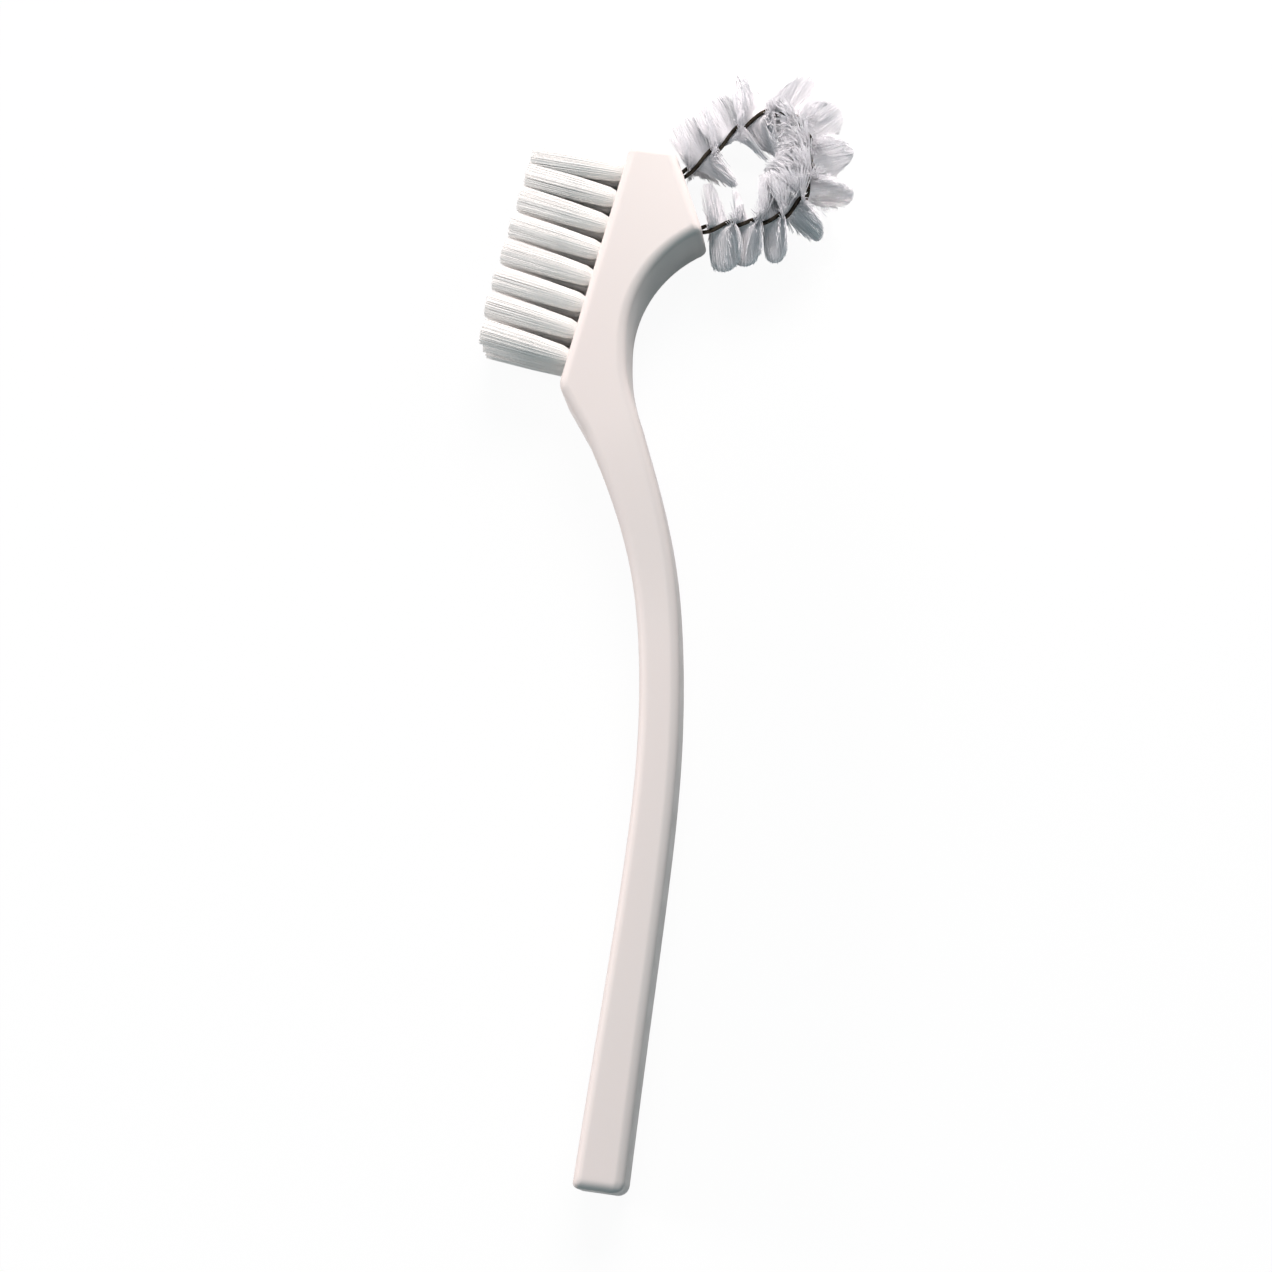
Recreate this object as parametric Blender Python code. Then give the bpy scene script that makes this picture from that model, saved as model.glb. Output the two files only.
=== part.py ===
"""Denture brush lying on its side: a moulded handle, a head of staple-set tufts and a looped wire brush.

The brush is drawn flat in the XY plane. +Y runs from the butt to the head, the tufts point to -X, the wire
loop points to +X, and Z is the width of the brush. Its mid-plane stands half a head's width above the ground,
so the brush rests on the side of its head. Lengths are metres.
"""
import math

import bmesh
import bpy
import numpy as np
from mathutils import Matrix, Vector

# Handle: width across Z, and the grip's curved line from the butt to the neck.
HEAD_WIDTH = 0.0150
GRIP_WIDTH = 0.0120
GRIP_LENGTH = 0.1307
GRIP_SWAY = 0.0086
BUTT_DEPTH = 0.0086
WAIST_DEPTH = 0.0069
NECK_DEPTH = 0.0097
EDGE_ROUND = 0.0017
BUTT_FRONT_ROUND = 0.0010
BUTT_BACK_ROUND = 0.0019
CHIN_ROUND = 0.0035
CORNER_ROUND = 0.0016
TIP_ROUND = 0.0010

# Places along the grip from the butt, and how far the line has swayed there, both as shares.
GRIP_LINE_SHARES = (
    (0.0, 0.0),
    (0.185, 0.355),
    (0.38, 0.735),
    (0.57, 0.995),
    (0.70, 0.985),
    (0.80, 0.83),
    (0.90, 0.465),
    (1.0, -0.058),
)
WAIST_SHARE = 0.6
NECK_TAPER_START_SHARE = 0.72
BUTT_SWELL_POWER = 1.5
NECK_SWELL_POWER = 2.5

# Head: its front face leans back from the chin, and its end face carries the wire.
CHIN_ASIDE = 0.0091
CHIN_ALONG = 0.0063
FACE_LENGTH = 0.0452
FACE_LEAN = math.radians(14.9)
TOP_WIDTH = 0.0079
TOP_FALL = math.radians(8.6)
END_FACE_LENGTH = 0.0157
END_FACE_LEAN = math.radians(18.9)
HOLLOW_RADIUS = 0.0210
THROAT_DEPTH = 0.0116
NECK_BLEND_REACH = 0.0060
HOLLOW_BLEND_REACH = 0.0040

# Tufts, each folded round a metal anchor in a blind hole in the front face.
TUFT_ROWS = 8
TUFT_COLUMNS = 3
FIRST_ROW = 0.00445
ROW_PITCH = 0.00497
COLUMN_PITCH = 0.0036
HOLE_RADIUS = 0.00135
HOLE_DEPTH = 0.0042
TUFT_LENGTH = 0.0163
TUFT_TIP_RADIUS = 0.00172
TUFT_SEAT_DEPTH = 0.0003
TUFT_STRAND_SPACE = 0.00016
TUFT_SPLAY = 0.0006
TUFT_LEAN = math.radians(-2.5)
TOP_ROW_LEAN = math.radians(5.0)
LEANING_ROWS = 2
FOLD_THICKNESS = 0.0005
ANCHOR_HEIGHT = 0.0014
ANCHOR_THICKNESS = 0.00035

# Loop: a pair of twisted wires bent round in the mid-plane, both legs set in the end face.
LOOP_REACH = 0.0231
LOOP_SPREAD = 0.0187
UPPER_SOCKET_PLACE = 0.0026
LOWER_SOCKET_PLACE = 0.0133
SOCKET_DEPTH = 0.0050
WIRE_RADIUS = 0.00036
FIRST_HALF_TURN = 0.0064
LAST_HALF_TURN = 0.0043
FIRST_CREST = 0.0037
WIRE_STEP = 0.0008

# The loop's line past the upper mouth, and its heart, as shares of its reach and of its spread.
LOOP_LINE_SHARES = (
    (0.43, 0.494),
    (0.70, 0.605),
    (0.90, 0.54),
    (1.0, 0.29),
    (0.96, 0.0),
    (0.83, -0.29),
    (0.62, -0.405),
    (0.30, -0.34),
)
LOOP_HEART_SHARES = (0.64, 0.11)

# Filaments pinched between the two wires, cut level where the brush rests.
RIBBON_THICKNESS = 0.00015
RIBBON_HALF_WIDTH = 0.0006
FILAMENT_REACH = 0.0084
FILAMENT_WIDTH = 0.00032
FILAMENT_TIP_WIDTH = 0.00045
FILAMENT_SPACE = 0.00025
LOOP_SECTIONS = 9
LOOP_START = 0.0013
HEART_SHARE = 0.82

# The outer filaments of the upper leg sweep along the wire, most of all in the middle of this stretch of it.
OUTER_SWEEP = math.radians(20)
SWEEP_START_SHARE = 0.06
SWEEP_END_SHARE = 0.39

# Clearances.
FIT_GAP = 0.0001
PINCH_GAP = 0.00005
CUT_OVERRUN = 0.001

# Where the design's zero, the middle of the butt, lies from the middle of the whole brush.
BUTT_ASIDE = -0.00887
BUTT_ALONG = -0.09814

FRAME_NAME = "brush_frame"
STRANDS_ACROSS = 3
HOLE_SIDES = 12
CORNER_STEPS = 4
GRIP_STEPS = 24
HOLLOW_STEPS = 12
BLEND_STEPS = 5
EDGE_SEGMENTS = 3
SPLINE_SAMPLES = 600
PHASE_STEPS = 40
HALF_SHARE = 0.5
BEND_SPREAD = 12
LEAST_TURN = math.radians(0.5)
SHARP_ANGLE = math.radians(40)
ROUNDED_FOLD = math.radians(30)


def direction(angle):
    """The flat unit vector at an angle from +X."""
    return Vector((math.cos(angle), math.sin(angle), 0))


def smooth_line(points, count):
    """Evenly spaced points, and their tangents, on a natural cubic spline through the given points."""
    knots = np.array([tuple(p)[:2] for p in points])
    chords = np.linalg.norm(np.diff(knots, axis=0), axis=1)
    place = np.concatenate([[0], np.cumsum(chords)])
    n = len(knots)
    system = np.eye(n)
    bend = np.zeros((n, 2))
    for i in range(1, n - 1):
        before, after = chords[i - 1], chords[i]
        system[i, i - 1:i + 2] = before, 2 * (before + after), after
        slope_in = (knots[i] - knots[i - 1]) / before
        slope_out = (knots[i + 1] - knots[i]) / after
        bend[i] = 6 * (slope_out - slope_in)
    second = np.linalg.solve(system, bend)
    fine = np.linspace(0, place[-1], SPLINE_SAMPLES)
    span = np.clip(np.searchsorted(place, fine, side="right") - 1, 0, n - 2)
    h = chords[span][:, None]
    left = (place[span + 1] - fine)[:, None]
    right = (fine - place[span])[:, None]
    curve = (second[span] * left ** 3 + second[span + 1] * right ** 3) / (6 * h)
    curve += (knots[span] / h - second[span] * h / 6) * left
    curve += (knots[span + 1] / h - second[span + 1] * h / 6) * right
    travelled = np.concatenate([[0], np.cumsum(np.linalg.norm(np.diff(curve, axis=0), axis=1))])
    wanted = np.linspace(0, travelled[-1], count)
    spaced = np.stack([np.interp(wanted, travelled, curve[:, i]) for i in range(2)], axis=1)
    slopes = np.gradient(spaced, axis=0)
    slopes /= np.linalg.norm(slopes, axis=1)[:, None]
    return [Vector((x, y, 0)) for x, y in spaced], [Vector((x, y, 0)) for x, y in slopes]


def rounded_corner(before, corner, after, radius, steps=CORNER_STEPS):
    """Points on the arc that rounds the corner between two straight runs."""
    back = (before - corner).normalized()
    on = (after - corner).normalized()
    half = back.angle(on) / 2
    centre = corner + (back + on).normalized() * radius / math.sin(half)
    start = (corner + back * radius / math.tan(half) - centre).normalized()
    end = (corner + on * radius / math.tan(half) - centre).normalized()
    return [centre + start.slerp(end, i / steps) * radius for i in range(steps + 1)]


def grip_depth(share):
    """The grip's depth in the plane of the brush, at a share of its line from the butt."""
    if share < WAIST_SHARE:
        swell = ((WAIST_SHARE - share) / WAIST_SHARE) ** BUTT_SWELL_POWER
        return WAIST_DEPTH + (BUTT_DEPTH - WAIST_DEPTH) * swell
    swell = ((share - WAIST_SHARE) / (1 - WAIST_SHARE)) ** NECK_SWELL_POWER
    return WAIST_DEPTH + (NECK_DEPTH - WAIST_DEPTH) * swell


def grip_line():
    """Points and tangents along the middle of the grip, from the butt to the neck."""
    points = [Vector((GRIP_SWAY * aside, GRIP_LENGTH * along, 0)) for along, aside in GRIP_LINE_SHARES]
    return smooth_line(points, GRIP_STEPS + 1)


def head_corners():
    """The head's four named corners and the middle of the hollow's arc."""
    neck = Vector((GRIP_SWAY * GRIP_LINE_SHARES[-1][1], GRIP_LENGTH, 0))
    chin = neck + Vector((-CHIN_ASIDE, CHIN_ALONG, 0))
    crown = chin - face_down() * FACE_LENGTH
    brow = crown + direction(-TOP_FALL) * TOP_WIDTH
    tip = brow + end_down() * END_FACE_LENGTH
    hollow = Vector((chin.x + THROAT_DEPTH + HOLLOW_RADIUS, 0, 0))
    hollow.y = tip.y - math.sqrt(HOLLOW_RADIUS ** 2 - (hollow.x - tip.x) ** 2)
    return chin, crown, brow, tip, hollow


def face_down():
    """The direction down the front face, from the crown to the chin."""
    return direction(-math.pi / 2 - FACE_LEAN)


def face_out():
    """The direction that the front face looks in."""
    return direction(math.pi - FACE_LEAN)


def end_down():
    """The direction down the end face, from the brow to the tip."""
    return direction(-math.pi / 2 + END_FACE_LEAN)


def blend(start, start_reach, end, end_reach, steps):
    """Points inside a cubic curve that leaves and arrives along the two reaches."""
    second = start + start_reach
    third = end - end_reach
    points = []
    for i in range(1, steps):
        t = i / steps
        s = 1 - t
        points.append(start * s ** 3 + second * 3 * s * s * t + third * 3 * s * t * t + end * t ** 3)
    return points


def handle_outline():
    """The two edges of the grip, from the butt to the neck, and the head's outline from chin to neck."""
    points, tangents = grip_line()
    front, back = [], []
    for i, (point, tangent) in enumerate(zip(points, tangents)):
        aside = Vector((tangent.y, -tangent.x, 0)) * grip_depth(i / GRIP_STEPS) / 2
        front.append(point - aside)
        back.append(point + aside)
    chin, crown, brow, tip, hollow = head_corners()
    head = rounded_corner(front[-1], chin, crown, CHIN_ROUND)
    head += [crown, brow, tip]
    start_angle = math.atan2(tip.y - hollow.y, tip.x - hollow.x)
    for i in range(1, HOLLOW_STEPS + 1):
        angle = start_angle + (math.pi - start_angle) * i / HOLLOW_STEPS
        head.append(hollow + direction(angle) * HOLLOW_RADIUS)
    throat = head[-1]
    down = Vector((0, -HOLLOW_BLEND_REACH, 0))
    head += blend(throat, down, back[-1], -tangents[-1] * NECK_BLEND_REACH, BLEND_STEPS)
    return front, back, head, (crown, brow, tip)


def half_width(along):
    """Half the handle's width at a place along it, narrowing through the neck."""
    start = GRIP_LENGTH * NECK_TAPER_START_SHARE
    t = min(max((along - start) / (GRIP_LENGTH - start), 0), 1)
    ease = t * t * (3 - 2 * t)
    return (GRIP_WIDTH + (HEAD_WIDTH - GRIP_WIDTH) * ease) / 2


def widest_round():
    """The largest of the handle's edge and corner radii."""
    return max(EDGE_ROUND, CORNER_ROUND, TIP_ROUND, BUTT_FRONT_ROUND, BUTT_BACK_ROUND)


def weighted_bevel(obj, mesh, weights):
    """Rounds the edges that carry a weight, each by its share of the widest radius."""
    layer = mesh.attributes.new("bevel_weight_edge", "FLOAT", "EDGE")
    for index, weight in weights.items():
        layer.data[index].value = weight
    bevel = obj.modifiers.new("rounded_edges", "BEVEL")
    bevel.limit_method = "WEIGHT"
    bevel.width = widest_round()
    bevel.segments = EDGE_SEGMENTS
    bevel.use_clamp_overlap = False


def handle_mesh():
    """The handle's plain solid, and the weight of each edge that is to be rounded."""
    front, back, head, corners = handle_outline()
    bm = bmesh.new()
    left = [bm.verts.new(p) for p in front]
    right = [bm.verts.new(p) for p in back]
    crest = [bm.verts.new(p) for p in head]
    for i in range(GRIP_STEPS):
        bm.faces.new((left[i], right[i], right[i + 1], left[i + 1]))
    bm.faces.new([left[-1], right[-1]] + crest[::-1])
    flat = list(bm.faces)
    raised = bmesh.ops.extrude_face_region(bm, geom=flat + list(bm.edges), use_keep_orig=True)["geom"]
    top = {v for v in raised if isinstance(v, bmesh.types.BMVert)}
    for vert in bm.verts:
        vert.co.z = half_width(vert.co.y) * (1 if vert in top else -1)
    bmesh.ops.recalc_face_normals(bm, faces=bm.faces)
    rounds = (CORNER_ROUND, CORNER_ROUND, TIP_ROUND, BUTT_FRONT_ROUND, BUTT_BACK_ROUND)
    upright = list(zip((*corners, front[0], back[0]), rounds))
    weights = {}
    bm.edges.index_update()
    for edge in bm.edges:
        first, second = edge.verts
        if (first in top) == (second in top):
            if edge.calc_face_angle() > ROUNDED_FOLD:
                weights[edge.index] = EDGE_ROUND / widest_round()
            continue
        for corner, radius in upright:
            if (first.co.xy - corner.xy).length < FIT_GAP:
                weights[edge.index] = radius / widest_round()
    return new_mesh("handle", bm), weights


def add_rod(bm, base, axis, radius, length, sides):
    """A straight round rod in the mesh, from its base along its axis."""
    turn = Vector((0, 0, 1)).rotation_difference(axis).to_matrix().to_4x4()
    place = Matrix.Translation(base + axis * length / 2) @ turn
    bmesh.ops.create_cone(
        bm, cap_ends=True, segments=sides, radius1=radius, radius2=radius, depth=length, matrix=place
    )


def tuft_places():
    """Each tuft's row and column, and the middle of its hole's mouth."""
    crown = head_corners()[1]
    middle = (TUFT_COLUMNS - 1) / 2
    for row in range(TUFT_ROWS):
        for column in range(TUFT_COLUMNS):
            root = crown + face_down() * (FIRST_ROW + ROW_PITCH * row)
            root.z = COLUMN_PITCH * (column - middle)
            yield row, column, root


def wire_offset():
    """How far each wire's middle lies from the pair's middle line."""
    return WIRE_RADIUS + PINCH_GAP + RIBBON_THICKNESS / 2


def loop_frame():
    """The middle between the wire sockets, with the ways out of the end face and up along it."""
    brow = head_corners()[2]
    upper = brow + end_down() * UPPER_SOCKET_PLACE
    lower = brow + end_down() * LOWER_SOCKET_PLACE
    return upper, lower, (upper + lower) / 2, direction(END_FACE_LEAN), -end_down()


def loop_route(count):
    """Evenly spaced points and tangents along the wire pair, from the upper mouth to the lower."""
    upper, lower, middle, out, up = loop_frame()
    between = [middle + out * LOOP_REACH * a + up * LOOP_SPREAD * b for a, b in LOOP_LINE_SHARES]
    return smooth_line([upper] + between + [lower], count)


def loop_length():
    """The length of the wire pair from mouth to mouth."""
    points, _ = loop_route(SPLINE_SAMPLES)
    return sum((on - before).length for before, on in zip(points, points[1:]))


def half_turns(place, length):
    """Half turns of the twist between the first crest and a place on the loop's line."""
    step = (place - FIRST_CREST) / PHASE_STEPS
    total = 0
    for i in range(PHASE_STEPS):
        share = (FIRST_CREST + step * (i + HALF_SHARE)) / length
        total += step / (FIRST_HALF_TURN + (LAST_HALF_TURN - FIRST_HALF_TURN) * share)
    return total


def twist_axes(tangent, place, length):
    """The ways that the filaments and the pair of wires point in at a place on the loop."""
    angle = -math.pi * half_turns(place, length)
    outward = Vector((-tangent.y, tangent.x, 0))
    across = Vector((0, 0, 1))
    filament = outward * math.cos(angle) + across * math.sin(angle)
    pair = across * math.cos(angle) - outward * math.sin(angle)
    return outward, filament, pair


def cut_holes(handle):
    """Cuts the tufts' blind holes and the two wire sockets out of the handle."""
    bm = bmesh.new()
    for _, _, root in tuft_places():
        mouth = root + face_out() * CUT_OVERRUN
        add_rod(bm, mouth, -face_out(), HOLE_RADIUS, HOLE_DEPTH + CUT_OVERRUN, HOLE_SIDES)
    radius = wire_offset() + WIRE_RADIUS + FIT_GAP
    points, tangents = loop_route(SPLINE_SAMPLES)
    for mouth, inward in ((points[0], -tangents[0]), (points[-1], tangents[-1])):
        start = mouth - inward * CUT_OVERRUN
        add_rod(bm, start, inward, radius, SOCKET_DEPTH + FIT_GAP + CUT_OVERRUN, HOLE_SIDES)
    cutter = add_object("hole_cutter", new_mesh("hole_cutter", bm))
    cutter.hide_render = True
    cutter.display_type = "WIRE"
    cut = handle.modifiers.new("holes", "BOOLEAN")
    cut.operation = "DIFFERENCE"
    cut.object = cutter


def make_handle(material):
    """The moulded handle and head in one piece, rounded along its edges, with its holes."""
    mesh, weights = handle_mesh()
    handle = add_object("handle", mesh, material)
    weighted_bevel(handle, mesh, weights)
    cut_holes(handle)
    mesh.shade_smooth()
    mesh.set_sharp_from_angle(angle=SHARP_ANGLE)


def tuft_levels():
    """Heights in a tuft hole, from its mouth: the fold's underside, the window's floor and its ceiling."""
    underside = FIT_GAP - HOLE_DEPTH
    floor = underside + FOLD_THICKNESS
    return underside, floor, floor + ANCHOR_HEIGHT + 2 * FIT_GAP


def straight_tuft():
    """A tuft's mesh with its strands still straight, and a window through its round root for the anchor."""
    radius = HOLE_RADIUS - FIT_GAP
    underside, floor, ceiling = tuft_levels()
    bm = bmesh.new()
    bmesh.ops.create_grid(bm, x_segments=STRANDS_ACROSS, y_segments=STRANDS_ACROSS, size=1)
    for vert in bm.verts:
        x, y, _ = vert.co
        vert.co = x * math.sqrt(1 - y * y / 2) * radius, y * math.sqrt(1 - x * x / 2) * radius, underside
    cells = list(bm.faces)
    raised = bmesh.ops.extrude_face_region(bm, geom=cells + list(bm.edges), use_keep_orig=True)["geom"]
    bmesh.ops.dissolve_faces(bm, faces=cells)
    tops = [item for item in raised if isinstance(item, bmesh.types.BMFace)]
    lift = Vector((0, 0, -TUFT_SEAT_DEPTH - underside))
    bmesh.ops.translate(bm, verts=[v for v in raised if isinstance(v, bmesh.types.BMVert)], vec=lift)
    bmesh.ops.recalc_face_normals(bm, faces=bm.faces)
    bmesh.ops.inset_individual(bm, faces=tops, thickness=TUFT_STRAND_SPACE / 2, use_even_offset=True)
    strands = bmesh.ops.extrude_discrete_faces(bm, faces=tops)["faces"]
    for strand in strands:
        bmesh.ops.translate(bm, verts=strand.verts, vec=(0, 0, TUFT_LENGTH + TUFT_SEAT_DEPTH))
    tuft = add_object("straight_tuft", new_mesh("straight_tuft", bm))
    bm = bmesh.new()
    window = Vector((2 * HOLE_RADIUS + CUT_OVERRUN, ANCHOR_THICKNESS + 2 * FIT_GAP, ceiling - floor))
    add_box(bm, Vector((0, 0, (floor + ceiling) / 2)), window)
    cutter = add_object("window_cutter", new_mesh("window_cutter", bm))
    cut = tuft.modifiers.new("window", "BOOLEAN")
    cut.operation = "DIFFERENCE"
    cut.object = cutter
    mesh = bpy.data.meshes.new_from_object(tuft.evaluated_get(bpy.context.evaluated_depsgraph_get()))
    bpy.data.objects.remove(tuft)
    bpy.data.objects.remove(cutter)
    return mesh


def row_lean(row):
    """How far a row's tufts lean down the face: the topmost droop, and the rest stand slightly up."""
    droop = max(0, 1 - row / LEANING_ROWS)
    return TUFT_LEAN + (TOP_ROW_LEAN - TUFT_LEAN) * droop ** 2


def make_tufts(nylon, metal):
    """Every tuft with its own anchor, set across the head in straight rows."""
    straight = straight_tuft()
    floor = tuft_levels()[1]
    flare = TUFT_TIP_RADIUS / (HOLE_RADIUS - FIT_GAP)
    for row, column, root in tuft_places():
        place = Matrix((Vector((0, 0, 1)), -face_down(), face_out())).transposed().to_4x4()
        place.translation = root
        mesh = straight.copy()
        splay = TUFT_SPLAY * (column - (TUFT_COLUMNS - 1) / 2)
        lean = Vector((splay, -math.tan(row_lean(row)) * TUFT_LENGTH, 0))
        for vert in mesh.vertices:
            if vert.co.z > 0:
                vert.co.x *= flare
                vert.co.y *= flare
                vert.co += lean
        name = f"r{row + 1}_c{column + 1}"
        tuft = add_object(f"tuft_{name}", mesh, nylon)
        tuft.matrix_local = place
        bm = bmesh.new()
        size = Vector((2 * (HOLE_RADIUS - FIT_GAP), ANCHOR_THICKNESS, ANCHOR_HEIGHT))
        add_box(bm, Vector((0, 0, floor + FIT_GAP + ANCHOR_HEIGHT / 2)), size)
        anchor = add_object(f"anchor_{name}", new_mesh(f"anchor_{name}", bm), metal)
        anchor.matrix_local = place


def make_wires(metal):
    """The two wires of the loop, twisted round each other and run straight into their sockets."""
    length = loop_length()
    count = math.ceil(length / WIRE_STEP)
    points, tangents = loop_route(count + 1)
    step = length / count
    ends = math.ceil(SOCKET_DEPTH / step)
    places = [i * step for i in range(count + 1)]
    before = [-SOCKET_DEPTH * i / ends for i in range(ends, 0, -1)]
    after = [SOCKET_DEPTH * i / ends for i in range(1, ends + 1)]
    stations = [(points[0] + tangents[0] * d, tangents[0], d) for d in before]
    stations += list(zip(points, tangents, places))
    stations += [(points[-1] + tangents[-1] * d, tangents[-1], length + d) for d in after]
    for name, side in (("a", 1), ("b", -1)):
        curve = bpy.data.curves.new(f"wire_{name}", "CURVE")
        curve.dimensions = "3D"
        curve.bevel_depth = WIRE_RADIUS
        curve.bevel_resolution = 1
        curve.use_fill_caps = True
        spline = curve.splines.new("POLY")
        spline.points.add(len(stations) - 1)
        for point, (middle, tangent, place) in zip(spline.points, stations):
            pair = twist_axes(tangent, place, length)[2]
            point.co = (*(middle + pair * wire_offset() * side), 1)
        curve.materials.append(metal)
        add_object(f"wire_{name}", curve)


def bend_radius(line, share):
    """The radius that the loop's line bends to at a share of its length."""
    points, tangents = line
    i = min(max(int(share * (len(points) - 1)), BEND_SPREAD), len(points) - 1 - BEND_SPREAD)
    before, on = i - BEND_SPREAD, i + BEND_SPREAD
    turn = tangents[before].angle(tangents[on])
    return (points[on] - points[before]).length / max(turn, LEAST_TURN)


def filament_reach(middle, outward, filament, radius):
    """A filament's length from the pair's middle line, kept off the loop's heart and the ground."""
    reach = FILAMENT_REACH
    inward = -filament.dot(outward)
    if inward > 0:
        _, _, start, out, up = loop_frame()
        heart = start + out * LOOP_REACH * LOOP_HEART_SHARES[0] + up * LOOP_SPREAD * LOOP_HEART_SHARES[1]
        share = min(max((middle - start).dot(heart - start) / (heart - start).length_squared, 0), 1)
        room = (middle - start - (heart - start) * share).length
        reach = min(reach, min(room, radius) * HEART_SHARE / inward)
    if filament.z < 0:
        reach = min(reach, HEAD_WIDTH / 2 / -filament.z)
    return reach


def outer_sweep(share):
    """How far the outer filaments sweep along the wire at a share of its length."""
    along = (share - SWEEP_START_SHARE) / (SWEEP_END_SHARE - SWEEP_START_SHARE)
    return OUTER_SWEEP * math.sin(math.pi * along) if 0 < along < 1 else 0


def ribbon_ring(middle, filament, pair):
    """The four corners of the pinched filaments' section between the wires."""
    width = filament * RIBBON_HALF_WIDTH
    depth = pair * RIBBON_THICKNESS / 2
    return [middle + width + depth, middle + width - depth, middle - width - depth, middle - width + depth]


def filament_section(start, end, length, line):
    """A stretch of the pinched filaments, with those that stand out from it on both sides."""
    count = int((end - start - FILAMENT_SPACE) / (FILAMENT_WIDTH + FILAMENT_SPACE))
    space = (end - start - count * FILAMENT_WIDTH) / (count + 1)
    bm = bmesh.new()
    previous = None
    for i in range(2 * count + 2):
        place = start + (i + 1) // 2 * space + i // 2 * FILAMENT_WIDTH
        middle, tangent = point_on(line, place / length)
        _, filament, pair = twist_axes(tangent, place, length)
        ring = [bm.verts.new(p) for p in ribbon_ring(middle, filament, pair)]
        if previous is None:
            bm.faces.new(ring)
        else:
            standing = i % 2 == 0
            for k in range(4):
                edge = (previous[k], previous[k - 1], ring[k - 1], ring[k])
                if k % 2 == 0 or not standing:
                    bm.faces.new(edge)
                else:
                    side = 1 if k == 1 else -1
                    stand_filament(bm, edge, side, place - FILAMENT_WIDTH / 2, length, line)
        previous = ring
    bm.faces.new(previous[::-1])
    bmesh.ops.recalc_face_normals(bm, faces=bm.faces)
    return bm


def stand_filament(bm, rim, side, place, length, line):
    """One filament drawn out of the ribbon's rim, widening a little towards its tip."""
    middle, tangent = point_on(line, place / length)
    outward, filament, pair = twist_axes(tangent, place, length)
    way = filament * side
    sweep = outer_sweep(place / length) * max(way.dot(outward), 0)
    reach = filament_reach(middle, outward, way, bend_radius(line, place / length))
    tip = middle + (way * math.cos(sweep) + tangent * math.sin(sweep)) * reach
    half = FILAMENT_TIP_WIDTH / 2
    ends = []
    for vert in rim:
        along = half if (vert.co - middle).dot(tangent) > 0 else -half
        across = half if (vert.co - middle).dot(pair) > 0 else -half
        end = tip + tangent * along + pair * across
        end.z = max(end.z, -HEAD_WIDTH / 2)
        ends.append(bm.verts.new(end))
    for k in range(4):
        bm.faces.new((rim[k], rim[k - 1], ends[k - 1], ends[k]))
    bm.faces.new(ends)


def point_on(line, share):
    """The point and the tangent at a share of a finely spaced line."""
    points, tangents = line
    at = share * (len(points) - 1)
    i = min(int(at), len(points) - 2)
    return points[i].lerp(points[i + 1], at - i), tangents[i].lerp(tangents[i + 1], at - i).normalized()


def make_loop_filaments(nylon):
    """The loop's filaments, in equal stretches of the wire."""
    length = loop_length()
    line = loop_route(SPLINE_SAMPLES)
    span = (length - 2 * LOOP_START) / LOOP_SECTIONS
    for i in range(LOOP_SECTIONS):
        start = LOOP_START + span * i + FIT_GAP / 2
        bm = filament_section(start, start + span - FIT_GAP, length, line)
        name = f"loop_filaments_{i + 1}"
        add_object(name, new_mesh(name, bm), nylon)


def add_box(bm, middle, size):
    """A box in the mesh, round its middle."""
    place = Matrix.Translation(middle) @ Matrix.Diagonal((*size, 1))
    bmesh.ops.create_cube(bm, size=1, matrix=place)


def new_mesh(name, bm):
    """A mesh made from a finished bmesh, which is freed."""
    mesh = bpy.data.meshes.new(name)
    bm.to_mesh(mesh)
    bm.free()
    return mesh


def add_object(name, data, material=None):
    """An object in the scene that holds the mesh or curve and rides on the brush's frame."""
    obj = bpy.data.objects.new(name, data)
    bpy.context.collection.objects.link(obj)
    obj.parent = bpy.data.objects.get(FRAME_NAME)
    if material:
        data.materials.append(material)
    return obj


def make_material(name, colour, roughness, metallic=0.0):
    """A plain surface of one colour."""
    material = bpy.data.materials.new(name)
    material.use_nodes = True
    shader = material.node_tree.nodes["Principled BSDF"]
    shader.inputs["Base Color"].default_value = (*colour, 1)
    shader.inputs["Roughness"].default_value = roughness
    shader.inputs["Metallic"].default_value = metallic
    return material


def main():
    """Clears the scene and builds the brush."""
    for obj in list(bpy.data.objects):
        bpy.data.objects.remove(obj)
    frame = bpy.data.objects.new(FRAME_NAME, None)
    bpy.context.collection.objects.link(frame)
    frame.location = (BUTT_ASIDE, BUTT_ALONG, HEAD_WIDTH / 2)
    make_handle(make_material("ivory_plastic", (0.80, 0.76, 0.71), 0.38))
    tuft_nylon = make_material("tuft_nylon", (0.86, 0.85, 0.82), 0.45)
    make_tufts(tuft_nylon, make_material("anchor_metal", (0.72, 0.66, 0.52), 0.35, 1.0))
    make_wires(make_material("galvanised_wire", (0.42, 0.41, 0.38), 0.4, 1.0))
    make_loop_filaments(make_material("loop_nylon", (0.84, 0.85, 0.88), 0.4))


main()
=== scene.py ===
"""Looks of a denture brush that lies on its side on a pale floor.

A moulded handle carries tufts of nylon along the head's front face and, in its end face, a loop of twisted
wire with filaments pinched between its two strands. The brush is drawn flat: +Y runs from the butt to the
head, the tufts point to -X, the loop points to +X and Z is the brush's width. Lengths are metres, and angles
are radians except where a docstring says degrees.
"""

import logging
import math
from dataclasses import dataclass, field, fields
from enum import Enum

import bmesh
import bpy
import numpy as np
from mathutils import Matrix, Vector


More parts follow.
